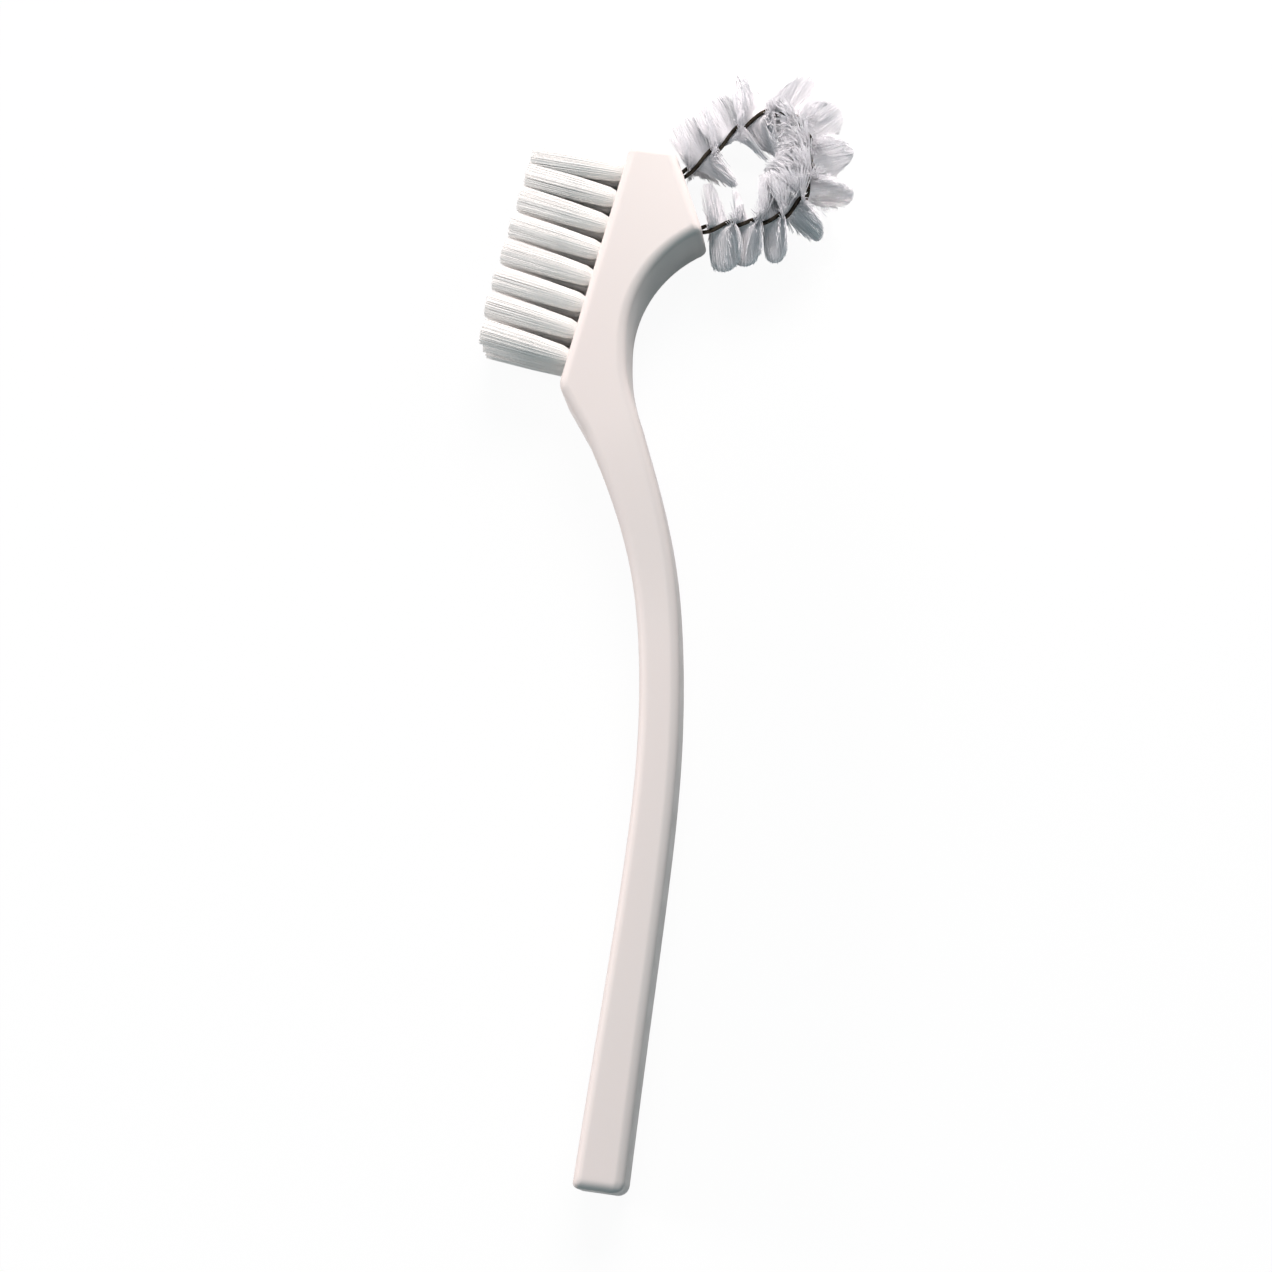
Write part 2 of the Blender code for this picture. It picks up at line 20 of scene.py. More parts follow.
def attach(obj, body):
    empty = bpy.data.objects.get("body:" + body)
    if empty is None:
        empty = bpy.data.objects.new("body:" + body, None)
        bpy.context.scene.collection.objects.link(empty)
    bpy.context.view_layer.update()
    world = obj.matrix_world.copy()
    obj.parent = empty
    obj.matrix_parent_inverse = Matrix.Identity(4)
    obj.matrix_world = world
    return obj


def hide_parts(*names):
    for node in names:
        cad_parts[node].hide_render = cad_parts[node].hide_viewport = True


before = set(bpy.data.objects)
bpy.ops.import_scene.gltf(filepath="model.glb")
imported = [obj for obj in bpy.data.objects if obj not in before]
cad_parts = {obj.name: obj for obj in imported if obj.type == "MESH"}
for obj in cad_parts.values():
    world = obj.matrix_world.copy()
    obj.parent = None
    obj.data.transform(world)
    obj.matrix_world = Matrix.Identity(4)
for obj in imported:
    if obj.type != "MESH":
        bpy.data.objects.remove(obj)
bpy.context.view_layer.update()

Colour = tuple[float, float, float]
BODY = "root"
UP = Vector((0, 0, 1))
log = logging.getLogger("denture_brush")

# A filament's build: its sides, its bevelled end's length in radii, and the share of its radius at the tip.
FILAMENT_SIDES = 4
BEVEL_LENGTH = 1.3
TIP_RADIUS_SHARE = 0.45


class Slot(Enum):
    """The record's material slots."""

    IVORY_PLASTIC = "ivory_plastic"
    TUFT_NYLON = "tuft_nylon"
    LOOP_NYLON = "loop_nylon"
    GALVANISED_WIRE = "galvanised_wire"
    ANCHOR_METAL = "anchor_metal"


class Strand(Enum):
    """The two strands of the twisted wire, each with the side of the pair that it lies on."""

    A = 1
    B = -1


def heading(angle: float) -> Vector:
    """The flat unit vector at an angle from +X."""
    return Vector((math.cos(angle), math.sin(angle), 0))


def unit(rows: np.ndarray) -> np.ndarray:
    """Rows of vectors, each brought to length one."""
    return rows / np.linalg.norm(rows, axis=-1, keepdims=True)


class SmoothLine:
    """A natural cubic curve through points of one height, read by the distance travelled along it."""

    def __init__(self, knots: list[Vector], samples: int = 600) -> None:
        """Fits the curve.

        Args:
            knots: The points that the curve passes through, in order.
            samples: How finely the curve is drawn before it is read.
        """
        flat = np.array([tuple(knot)[:2] for knot in knots])
        chords = np.linalg.norm(np.diff(flat, axis=0), axis=1)
        place = np.concatenate([[0], np.cumsum(chords)])
        second = self._bend(flat, chords)
        fine = np.linspace(0, place[-1], samples)
        span = np.clip(np.searchsorted(place, fine, side="right") - 1, 0, len(flat) - 2)
        h = chords[span][:, None]
        left = (place[span + 1] - fine)[:, None]
        right = (fine - place[span])[:, None]
        curve = (second[span] * left ** 3 + second[span + 1] * right ** 3) / (6 * h)
        curve += (flat[span] / h - second[span] * h / 6) * left
        curve += (flat[span + 1] / h - second[span + 1] * h / 6) * right
        steps = np.linalg.norm(np.diff(curve, axis=0), axis=1)
        self.travelled = np.concatenate([[0], np.cumsum(steps)])
        self.points = np.column_stack([curve, np.full(samples, knots[0].z)])
        self.tangents = unit(np.gradient(self.points, self.travelled, axis=0))
        self.length = float(self.travelled[-1])

    @staticmethod
    def _bend(flat: np.ndarray, chords: np.ndarray) -> np.ndarray:
        """The curve's second derivative at each knot.

        Args:
            flat: The knots as rows of x and y.
            chords: The distances between neighbouring knots.

        Returns:
            One row for each knot, zero at both ends.
        """
        count = len(flat)
        system = np.eye(count)
        bend = np.zeros((count, 2))
        for i in range(1, count - 1):
            before, after = chords[i - 1], chords[i]
            system[i, i - 1:i + 2] = before, 2 * (before + after), after
            bend[i] = 6 * ((flat[i + 1] - flat[i]) / after - (flat[i] - flat[i - 1]) / before)
        return np.linalg.solve(system, bend)

    def at(self, places: np.ndarray) -> tuple[np.ndarray, np.ndarray]:
        """The curve's points and tangents, running straight on past both ends.

        Args:
            places: Distances along the curve from its start.

        Returns:
            Rows of points and rows of unit tangents.
        """
        inside = np.clip(places, 0, self.length)
        points, tangents = (
            np.stack([np.interp(inside, self.travelled, rows[:, i]) for i in range(3)], axis=1)
            for rows in (self.points, self.tangents)
        )
        tangents = unit(tangents)
        return points + tangents * (places - inside)[:, None], tangents


def placed(name: str, data: bpy.types.ID) -> bpy.types.Object:
    """A new object in the scene."""
    item = bpy.data.objects.new(name, data)
    bpy.context.scene.collection.objects.link(item)
    return item


def finished_piece(name: str, mesh: bpy.types.Mesh, nodes: list[str]) -> bpy.types.Object:
    """Puts a mesh into the scene as a piece of the brush.

    Args:
        name: The piece's name.
        mesh: Its mesh, in place.
        nodes: The CAD nodes that it stands for.

    Returns:
        The piece, riding on the brush's body.
    """
    piece = placed(name, mesh)
    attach(piece, BODY)
    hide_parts(*nodes)
    log.info("%s: %d faces, stands for %s", name, len(mesh.polygons), ", ".join(nodes))
    return piece


def mesh_from(bm: bmesh.types.BMesh, name: str) -> bpy.types.Mesh:
    """A mesh with the bmesh's shape. The bmesh is freed."""
    mesh = bpy.data.meshes.new(name)
    bm.to_mesh(mesh)
    bm.free()
    return mesh


def add_rod(
    bm: bmesh.types.BMesh, sides: int, radius: float, length: float, middle: Vector, way: Vector = UP
) -> None:
    """Adds a closed straight rod to a bmesh.

    Args:
        bm: The bmesh.
        sides: How many sides the rod has.
        radius: Its radius.
        length: Its length.
        middle: The place of its middle.
        way: The direction that it runs in.
    """
    place = Matrix.Translation(middle) @ UP.rotation_difference(way).to_matrix().to_4x4()
    bmesh.ops.create_cone(
        bm, cap_ends=True, segments=sides, radius1=radius, radius2=radius, depth=length, matrix=place
    )


@dataclass(frozen=True)
class RodBundle:
    """Many thin rods of one build, each bent ring by ring along its own line."""

    sides: int
    rings: int

    def unit_rod(self) -> bpy.types.Mesh:
        """One closed rod of radius 1 along +Z, with its rings 1 apart."""
        bm = bmesh.new()
        add_rod(bm, self.sides, 1, 1, UP / 2)
        top = max(bm.faces, key=lambda face: face.calc_center_median().z)
        for _ in range(self.rings - 2):
            top = bmesh.ops.extrude_discrete_faces(bm, faces=[top])["faces"][0]
            bmesh.ops.translate(bm, verts=top.verts, vec=UP)
        return mesh_from(bm, "unit_rod")

    def mesh(
        self, name: str, centres: np.ndarray, across: np.ndarray, radii: np.ndarray, tones: np.ndarray,
        tip_shares: np.ndarray,
    ) -> bpy.types.Mesh:
        """The bundle as one mesh, with each rod's tone and its nearness to a tip as attributes.

        Args:
            name: The mesh's name.
            centres: The middle of every ring, by rod and ring.
            across: A direction across the rod at every ring, by rod and ring.
            radii: The radius of every ring, by rod and ring.
            tones: One number for each rod, which its colour follows.
            tip_shares: How near each ring is to a tip, from 0 to 1, by rod and ring.

        Returns:
            The mesh, smooth all over.
        """
        rod = self.unit_rod()
        shape = np.array([tuple(vert.co) for vert in rod.vertices])
        ring = np.round(shape[:, 2]).astype(int)
        along = unit(np.gradient(centres, axis=1))
        side = unit(across - along * np.sum(across * along, axis=-1, keepdims=True))
        other = np.cross(along, side)
        spokes = side[:, ring] * shape[None, :, :1] + other[:, ring] * shape[None, :, 1:2]
        places = centres[:, ring] + spokes * radii[:, ring, None]
        bm = bmesh.new()
        for _ in range(len(centres)):
            bm.from_mesh(rod)
        bpy.data.meshes.remove(rod)
        mesh = mesh_from(bm, name)
        mesh.vertices.foreach_set("co", places.astype(np.float32).ravel())
        tone = mesh.attributes.new("tone", "FLOAT", "POINT")
        tone.data.foreach_set("value", np.repeat(tones, len(ring)).astype(np.float32))
        near_tip = mesh.attributes.new("near_tip", "FLOAT", "POINT")
        near_tip.data.foreach_set("value", tip_shares[:, ring].astype(np.float32).ravel())
        mesh.shade_smooth()
        mesh.update()
        return mesh


class NodeBench:
    """Lays out one material's nodes round its Principled shader."""

    # A mix node has sockets of the same name for numbers, vectors and colours, so the colours go by place.
    FIRST_COLOUR = 6
    SECOND_COLOUR = 7
    MIXED_COLOUR = 2

    def __init__(self, name: str) -> None:
        """Starts a material.

        Args:
            name: The material's name.
        """
        self.material = bpy.data.materials.new(name)
        self.material.use_nodes = True
        self.nodes = self.material.node_tree.nodes
        self.links = self.material.node_tree.links
        self.shader = self.nodes["Principled BSDF"]
        self.place = self.nodes.new("ShaderNodeTexCoord").outputs["Object"]

    def link(self, source: bpy.types.NodeSocket, target: bpy.types.NodeSocket) -> None:
        """Joins an output to an input."""
        self.links.new(source, target)

    def attribute(self, name: str) -> bpy.types.NodeSocket:
        """The value of one of the mesh's own attributes."""
        node = self.nodes.new("ShaderNodeAttribute")
        node.attribute_name = name
        return node.outputs["Fac"]

    def noise(self, scale: float, detail: float = 2, stretch: Colour = (1, 1, 1)) -> bpy.types.NodeSocket:
        """Cloudy noise on the piece's own coordinates.

        Args:
            scale: How many clouds there are in a metre.
            detail: How many finer layers of cloud are added.
            stretch: The share of that scale along each axis.

        Returns:
            The noise's value, about 0.5 on average.
        """
        mapping = self.nodes.new("ShaderNodeMapping")
        mapping.inputs["Scale"].default_value = stretch
        self.link(self.place, mapping.inputs["Vector"])
        node = self.nodes.new("ShaderNodeTexNoise")
        node.inputs["Scale"].default_value = scale
        node.inputs["Detail"].default_value = detail
        self.link(mapping.outputs["Vector"], node.inputs["Vector"])
        return node.outputs["Fac"]

    def spread(
        self, value: bpy.types.NodeSocket, span: tuple[float, float], result: tuple[float, float]
    ) -> bpy.types.NodeSocket:
        """Maps a value's span onto another, without going past its ends.

        Args:
            value: The value.
            span: Where the value starts and ends.
            result: What it becomes there.

        Returns:
            The mapped value.
        """
        node = self.nodes.new("ShaderNodeMapRange")
        for socket, number in zip(("From Min", "From Max", "To Min", "To Max"), (*span, *result)):
            node.inputs[socket].default_value = number
        self.link(value, node.inputs["Value"])
        return node.outputs["Result"]

    def mix(
        self, share: bpy.types.NodeSocket, first: Colour | bpy.types.NodeSocket, second: Colour
    ) -> bpy.types.NodeSocket:
        """A colour between two others.

        Args:
            share: 0 for the first colour, 1 for the second.
            first: A colour, or an output that gives one.
            second: The other colour.

        Returns:
            The mixed colour.
        """
        node = self.nodes.new("ShaderNodeMix")
        node.data_type = "RGBA"
        self.link(share, node.inputs["Factor"])
        if isinstance(first, bpy.types.NodeSocket):
            self.link(first, node.inputs[self.FIRST_COLOUR])
        else:
            node.inputs[self.FIRST_COLOUR].default_value = (*first, 1)
        node.inputs[self.SECOND_COLOUR].default_value = (*second, 1)
        return node.outputs[self.MIXED_COLOUR]

    def glow_within(self, share: float, reach: float, depths: Colour) -> None:
        """Lets light wander under the surface.

        Args:
            share: The share of the light that does.
            reach: How far it wanders, in metres.
            depths: The shares of that reach for red, green and blue.
        """
        self.shader.inputs["Subsurface Weight"].default_value = share
        self.shader.inputs["Subsurface Scale"].default_value = reach
        self.shader.inputs["Subsurface Radius"].default_value = depths

    def bump(self, height: bpy.types.NodeSocket, strength: float, depth: float) -> None:
        """Raises the surface by a height.

        Args:
            height: The height's share of the depth.
            strength: How strongly the light follows it.
            depth: The full height in metres.
        """
        node = self.nodes.new("ShaderNodeBump")
        node.inputs["Strength"].default_value = strength
        node.inputs["Distance"].default_value = depth
        self.link(height, node.inputs["Height"])
        self.link(node.outputs["Normal"], self.shader.inputs["Normal"])


@dataclass(frozen=True)
class MouldedPlastic:
    """Off-white moulded plastic with a satin skin, faint clouds from the melt and a fine pore."""

    colour: Colour = (0.77, 0.705, 0.68)
    cloud_colour: Colour = (0.755, 0.705, 0.68)
    shine: float = 0.06
    cloud_scale: float = 45
    cloud_stretch: Colour = (1, 0.4, 1)
    cloud_span: tuple[float, float] = (0.35, 0.65)
    gloss_scale: float = 260
    gloss_span: tuple[float, float] = (0.3, 0.7)
    roughness: tuple[float, float] = (0.33, 0.45)
    pore_scale: float = 4200
    pore_depth: float = 0.00002
    pore_strength: float = 0.12
    glow: float = 0.12
    glow_depths: Colour = (1.0, 0.9, 0.8)
    glow_reach: float = 0.0010

    def material(self) -> bpy.types.Material:
        """The plastic's material."""
        bench = NodeBench(Slot.IVORY_PLASTIC.value)
        melt = bench.noise(self.cloud_scale, detail=3, stretch=self.cloud_stretch)
        clouds = bench.spread(melt, self.cloud_span, (0, 1))
        bench.link(bench.mix(clouds, self.colour, self.cloud_colour), bench.shader.inputs["Base Color"])
        gloss = bench.spread(bench.noise(self.gloss_scale, detail=3), self.gloss_span, self.roughness)
        bench.link(gloss, bench.shader.inputs["Roughness"])
        bench.shader.inputs["Specular IOR Level"].default_value = self.shine
        bench.glow_within(self.glow, self.glow_reach, self.glow_depths)
        bench.bump(bench.noise(self.pore_scale), self.pore_strength, self.pore_depth)
        return bench.material


@dataclass(frozen=True)
class NylonFilament:
    """Nylon filament, whose tone differs a little from one to the next and pales towards its tip."""

    slot: Slot
    root_colour: Colour
    tip_colour: Colour
    shade_colour: Colour
    tone_share: float = 0.35
    roughness: tuple[float, float] = (0.34, 0.5)
    streak_scale: float = 900
    streak_span: tuple[float, float] = (0.3, 0.7)

    def material(self) -> bpy.types.Material:
        """The filament's material."""
        bench = NodeBench(self.slot.value)
        paled = bench.mix(bench.attribute("near_tip"), self.root_colour, self.tip_colour)
        tone = bench.spread(bench.attribute("tone"), (0, 1), (0, self.tone_share))
        bench.link(bench.mix(tone, paled, self.shade_colour), bench.shader.inputs["Base Color"])
        streaks = bench.spread(bench.noise(self.streak_scale), self.streak_span, self.roughness)
        bench.link(streaks, bench.shader.inputs["Roughness"])
        return bench.material


@dataclass(frozen=True)
class DrawnMetal:
    """Metal with fine streaks from drawing or rolling, and duller patches."""

    slot: Slot
    colour: Colour
    dull_colour: Colour
    roughness: tuple[float, float]
    patch_scale: float = 700
    patch_span: tuple[float, float] = (0.4, 0.65)
    dull_span: tuple[float, float] = (0.35, 0.65)
    streak_scale: float = 9000
    streak_depth: float = 0.00001
    streak_strength: float = 0.3

    def material(self) -> bpy.types.Material:
        """The metal's material."""
        bench = NodeBench(self.slot.value)
        patches = bench.spread(bench.noise(self.patch_scale, detail=3), self.patch_span, (0, 1))
        bench.link(bench.mix(patches, self.colour, self.dull_colour), bench.shader.inputs["Base Color"])
        dullness = bench.spread(bench.noise(self.patch_scale, detail=3), self.dull_span, self.roughness)
        bench.link(dullness, bench.shader.inputs["Roughness"])
        bench.shader.inputs["Metallic"].default_value = 1
        bench.bump(bench.noise(self.streak_scale, detail=1), self.streak_strength, self.streak_depth)
        return bench.material


@dataclass(frozen=True)
class Handle:
    """The moulded handle and head: a swaying grip, a leaning front face and a hollow behind the neck."""

    head_width: float = 0.0150
    grip_width: float = 0.0120
    grip_length: float = 0.1307
    grip_sway: float = 0.0086
    butt_depth: float = 0.0086
    waist_depth: float = 0.0069
    neck_depth: float = 0.0097
    edge_round: float = 0.0017
    butt_front_round: float = 0.0010
    butt_back_round: float = 0.0019
    chin_round: float = 0.0035
    corner_round: float = 0.0016
    tip_round: float = 0.0010
    line_shares: tuple[tuple[float, float], ...] = (
        (0.0, 0.0), (0.185, 0.355), (0.38, 0.735), (0.57, 0.995), (0.70, 0.985), (0.80, 0.83), (0.90, 0.465),
        (1.0, -0.058),
    )
    waist_share: float = 0.6
    neck_taper_start_share: float = 0.72
    butt_swell_power: float = 1.5
    neck_swell_power: float = 2.5
    chin_aside: float = 0.0091
    chin_along: float = 0.0063
    face_length: float = 0.0452
    face_lean: float = math.radians(14.9)
    top_width: float = 0.0079
    top_fall: float = math.radians(8.6)
    end_face_length: float = 0.0157
    end_face_lean: float = math.radians(18.9)
    hollow_radius: float = 0.0210
    throat_depth: float = 0.0116
    neck_blend_reach: float = 0.0060
    hollow_blend_reach: float = 0.0040
    butt_aside: float = -0.00887
    butt_along: float = -0.09814
    grip_steps: int = 60
    corner_steps: int = 8
    hollow_steps: int = 22
    blend_steps: int = 12
    edge_segments: int = 7
    rounded_fold: float = math.radians(30)
    sharp_fold: float = math.radians(40)
    same_corner_share: float = 0.1
    hole_sides: int = 32
    fit_gap: float = 0.0001
    cut_overrun: float = 0.001
    finish: MouldedPlastic = field(default_factory=MouldedPlastic)

    def zero(self) -> Vector:
        """The place of the design's zero, the middle of the butt, half a head's width above the floor."""
        return Vector((self.butt_aside, self.butt_along, self.head_width / 2))

    def face_down(self) -> Vector:
        """The direction down the front face, from the crown to the chin."""
        return heading(-math.pi / 2 - self.face_lean)

    def face_out(self) -> Vector:
        """The direction that the front face looks in."""
        return heading(math.pi - self.face_lean)

    def end_down(self) -> Vector:
        """The direction down the end face, from the brow to the tip."""
        return heading(-math.pi / 2 + self.end_face_lean)

    def end_out(self) -> Vector:
        """The direction that the end face looks in."""
        return heading(self.end_face_lean)

    def head_corners(self) -> tuple[Vector, Vector, Vector, Vector, Vector]:
        """The chin, crown, brow and tip of the head, and the middle of the hollow's arc."""
        neck = Vector((self.grip_sway * self.line_shares[-1][1], self.grip_length, 0))
        chin = neck + Vector((-self.chin_aside, self.chin_along, 0))
        crown = chin - self.face_down() * self.face_length
        brow = crown + heading(-self.top_fall) * self.top_width
        tip = brow + self.end_down() * self.end_face_length
        hollow = Vector((chin.x + self.throat_depth + self.hollow_radius, 0, 0))
        hollow.y = tip.y - math.sqrt(self.hollow_radius ** 2 - (hollow.x - tip.x) ** 2)
        return chin, crown, brow, tip, hollow

    def grip_depth(self, share: float) -> float:
        """The grip's depth in the plane of the brush.

        Args:
            share: A share of the grip's line from the butt.

        Returns:
            The depth, least at the waist.
        """
        if share < self.waist_share:
            swell = ((self.waist_share - share) / self.waist_share) ** self.butt_swell_power
            return self.waist_depth + (self.butt_depth - self.waist_depth) * swell
        swell = ((share - self.waist_share) / (1 - self.waist_share)) ** self.neck_swell_power
        return self.waist_depth + (self.neck_depth - self.waist_depth) * swell

    def half_width(self, along: float) -> float:
        """Half the handle's width, which grows through the neck.

        Args:
            along: A place along the handle from the butt.

        Returns:
            Half the width there.
        """
        start = self.grip_length * self.neck_taper_start_share
        t = min(max((along - start) / (self.grip_length - start), 0), 1)
        return (self.grip_width + (self.head_width - self.grip_width) * t * t * (3 - 2 * t)) / 2

    def grip_edges(self) -> tuple[list[Vector], list[Vector], Vector]:
        """The grip's front and back edges from the butt to the neck, and its direction at the neck."""
        knots = [
            Vector((self.grip_sway * aside, self.grip_length * along, 0)) for along, aside in self.line_shares
        ]
        line = SmoothLine(knots)
        points, tangents = line.at(np.linspace(0, line.length, self.grip_steps + 1))
        front, back = [], []
        for i, (point, tangent) in enumerate(zip(points, tangents)):
            aside = Vector((tangent[1], -tangent[0], 0)) * self.grip_depth(i / self.grip_steps) / 2
            front.append(Vector(point) - aside)
            back.append(Vector(point) + aside)
        return front, back, Vector(tangents[-1])

    def head_line(self, front: Vector, back: Vector, neck_way: Vector) -> list[Vector]:
        """The head's outline from the grip's front edge, over the head and down the hollow.

        Args:
            front: The end of the grip's front edge.
            back: The end of its back edge.
            neck_way: The grip's direction there.

        Returns:
            The points between those two ends.
        """
        chin, crown, brow, tip, hollow = self.head_corners()
        outline = self.chin_arc(front, chin, crown)
        outline += [crown, brow, tip]
        start = math.atan2(tip.y - hollow.y, tip.x - hollow.x)
        for i in range(1, self.hollow_steps + 1):
            angle = start + (math.pi - start) * i / self.hollow_steps
            outline.append(hollow + heading(angle) * self.hollow_radius)
        throat = outline[-1]
        leave = throat + Vector((0, -self.hollow_blend_reach, 0))
        arrive = back + neck_way * self.neck_blend_reach
        for i in range(1, self.blend_steps):
            t = i / self.blend_steps
            s = 1 - t
            outline.append(throat * s ** 3 + leave * 3 * s * s * t + arrive * 3 * s * t * t + back * t ** 3)
        return outline

    def chin_arc(self, before: Vector, corner: Vector, after: Vector) -> list[Vector]:
        """The arc that rounds the chin.

        Args:
            before: A point on the run up to the corner.
            corner: The sharp corner.
            after: A point on the run away from it.

        Returns:
            The arc's points.
        """
        towards = (before - corner).normalized()
        away = (after - corner).normalized()
        half = towards.angle(away) / 2
        centre = corner + (towards + away).normalized() * self.chin_round / math.sin(half)
        start = (corner + towards * self.chin_round / math.tan(half) - centre).normalized()
        end = (corner + away * self.chin_round / math.tan(half) - centre).normalized()
        steps = self.corner_steps
        return [centre + start.slerp(end, i / steps) * self.chin_round for i in range(steps + 1)]

    def plain_solid(self) -> bmesh.types.BMesh:
        """The handle with sharp edges: its outline filled, drawn out across Z and weighted for rounding."""
        front, back, neck_way = self.grip_edges()
        crest = self.head_line(front[-1], back[-1], neck_way)
        bm = bmesh.new()
        rungs = [[bm.verts.new(a), bm.verts.new(b)] for a, b in zip(front, back)]
        for below, above in zip(rungs, rungs[1:]):
            bmesh.ops.contextual_create(bm, geom=below + above)
        rim = [rungs[-1][0]] + [bm.verts.new(point) for point in crest] + [rungs[-1][1]]
        for before, on in zip(rim, rim[1:]):
            bm.edges.new((before, on))
        edges = [edge for edge in bm.edges if not edge.link_faces]
        edges.append(bm.edges.get((rim[0], rim[-1])))
        bmesh.ops.contextual_create(bm, geom=edges)
        geometry = list(bm.faces) + list(bm.edges)
        raised = bmesh.ops.extrude_face_region(bm, geom=geometry, use_keep_orig=True)["geom"]
        top = {item for item in raised if isinstance(item, bmesh.types.BMVert)}
        for vert in bm.verts:
            vert.co.z = self.half_width(vert.co.y) * (1 if vert in top else -1)
        bmesh.ops.recalc_face_normals(bm, faces=bm.faces)
        self.weigh_edges(bm, top, front[0], back[0])
        return bm

    def widest_round(self) -> float:
        """The largest radius among the handle's rounded edges."""
        return max(
            self.edge_round, self.corner_round, self.tip_round, self.butt_front_round, self.butt_back_round
        )

    def weigh_edges(
        self, bm: bmesh.types.BMesh, top: set[bmesh.types.BMVert], front: Vector, back: Vector
    ) -> None:
        """Marks each edge with its share of the widest rounding.

        Args:
            bm: The sharp-edged handle.
            top: The vertices of its upper side.
            front: The butt's front corner.
            back: The butt's back corner.
        """
        _, crown, brow, tip, _ = self.head_corners()
        corners = (
            (crown, self.corner_round), (brow, self.corner_round), (tip, self.tip_round),
            (front, self.butt_front_round), (back, self.butt_back_round),
        )
        weight = bm.edges.layers.float.new("bevel_weight_edge")
        for edge in bm.edges:
            first, second = edge.verts
            if (first in top) == (second in top):
                if edge.calc_face_angle(0) > self.rounded_fold:
                    edge[weight] = self.edge_round / self.widest_round()
                continue
            for corner, radius in corners:
                if (first.co.xy - corner.xy).length < self.tip_round * self.same_corner_share:
                    edge[weight] = radius / self.widest_round()

    def build(self, cutter: bpy.types.Mesh) -> None:
        """Makes the handle with rounded edges and with its holes.

        Args:
            cutter: The shape of all its holes, in place.
        """
        bm = self.plain_solid()
        bmesh.ops.translate(bm, verts=bm.verts, vec=self.zero())
        rough = placed("rough_handle", mesh_from(bm, "rough_handle"))
        holes = placed("holes", cutter)
        bevel = rough.modifiers.new("rounded_edges", "BEVEL")
        bevel.limit_method = "WEIGHT"
        bevel.width = self.widest_round()
        bevel.segments = self.edge_segments
        bevel.use_clamp_overlap = False
        cut = rough.modifiers.new("holes", "BOOLEAN")
        cut.operation = "DIFFERENCE"
        cut.object = holes
        graph = bpy.context.evaluated_depsgraph_get()
        mesh = bpy.data.meshes.new_from_object(rough.evaluated_get(graph))
        mesh.name = "handle_and_head"
        for helper in (rough, holes):
            bpy.data.objects.remove(helper)
        mesh.materials.clear()
        mesh.materials.append(self.finish.material())
        mesh.shade_smooth()
        mesh.set_sharp_from_angle(angle=self.sharp_fold)
        piece = finished_piece("handle_and_head", mesh, ["handle"])
        flatten = piece.modifiers.new("flat_faces_stay_flat", "WEIGHTED_NORMAL")
        flatten.keep_sharp = True


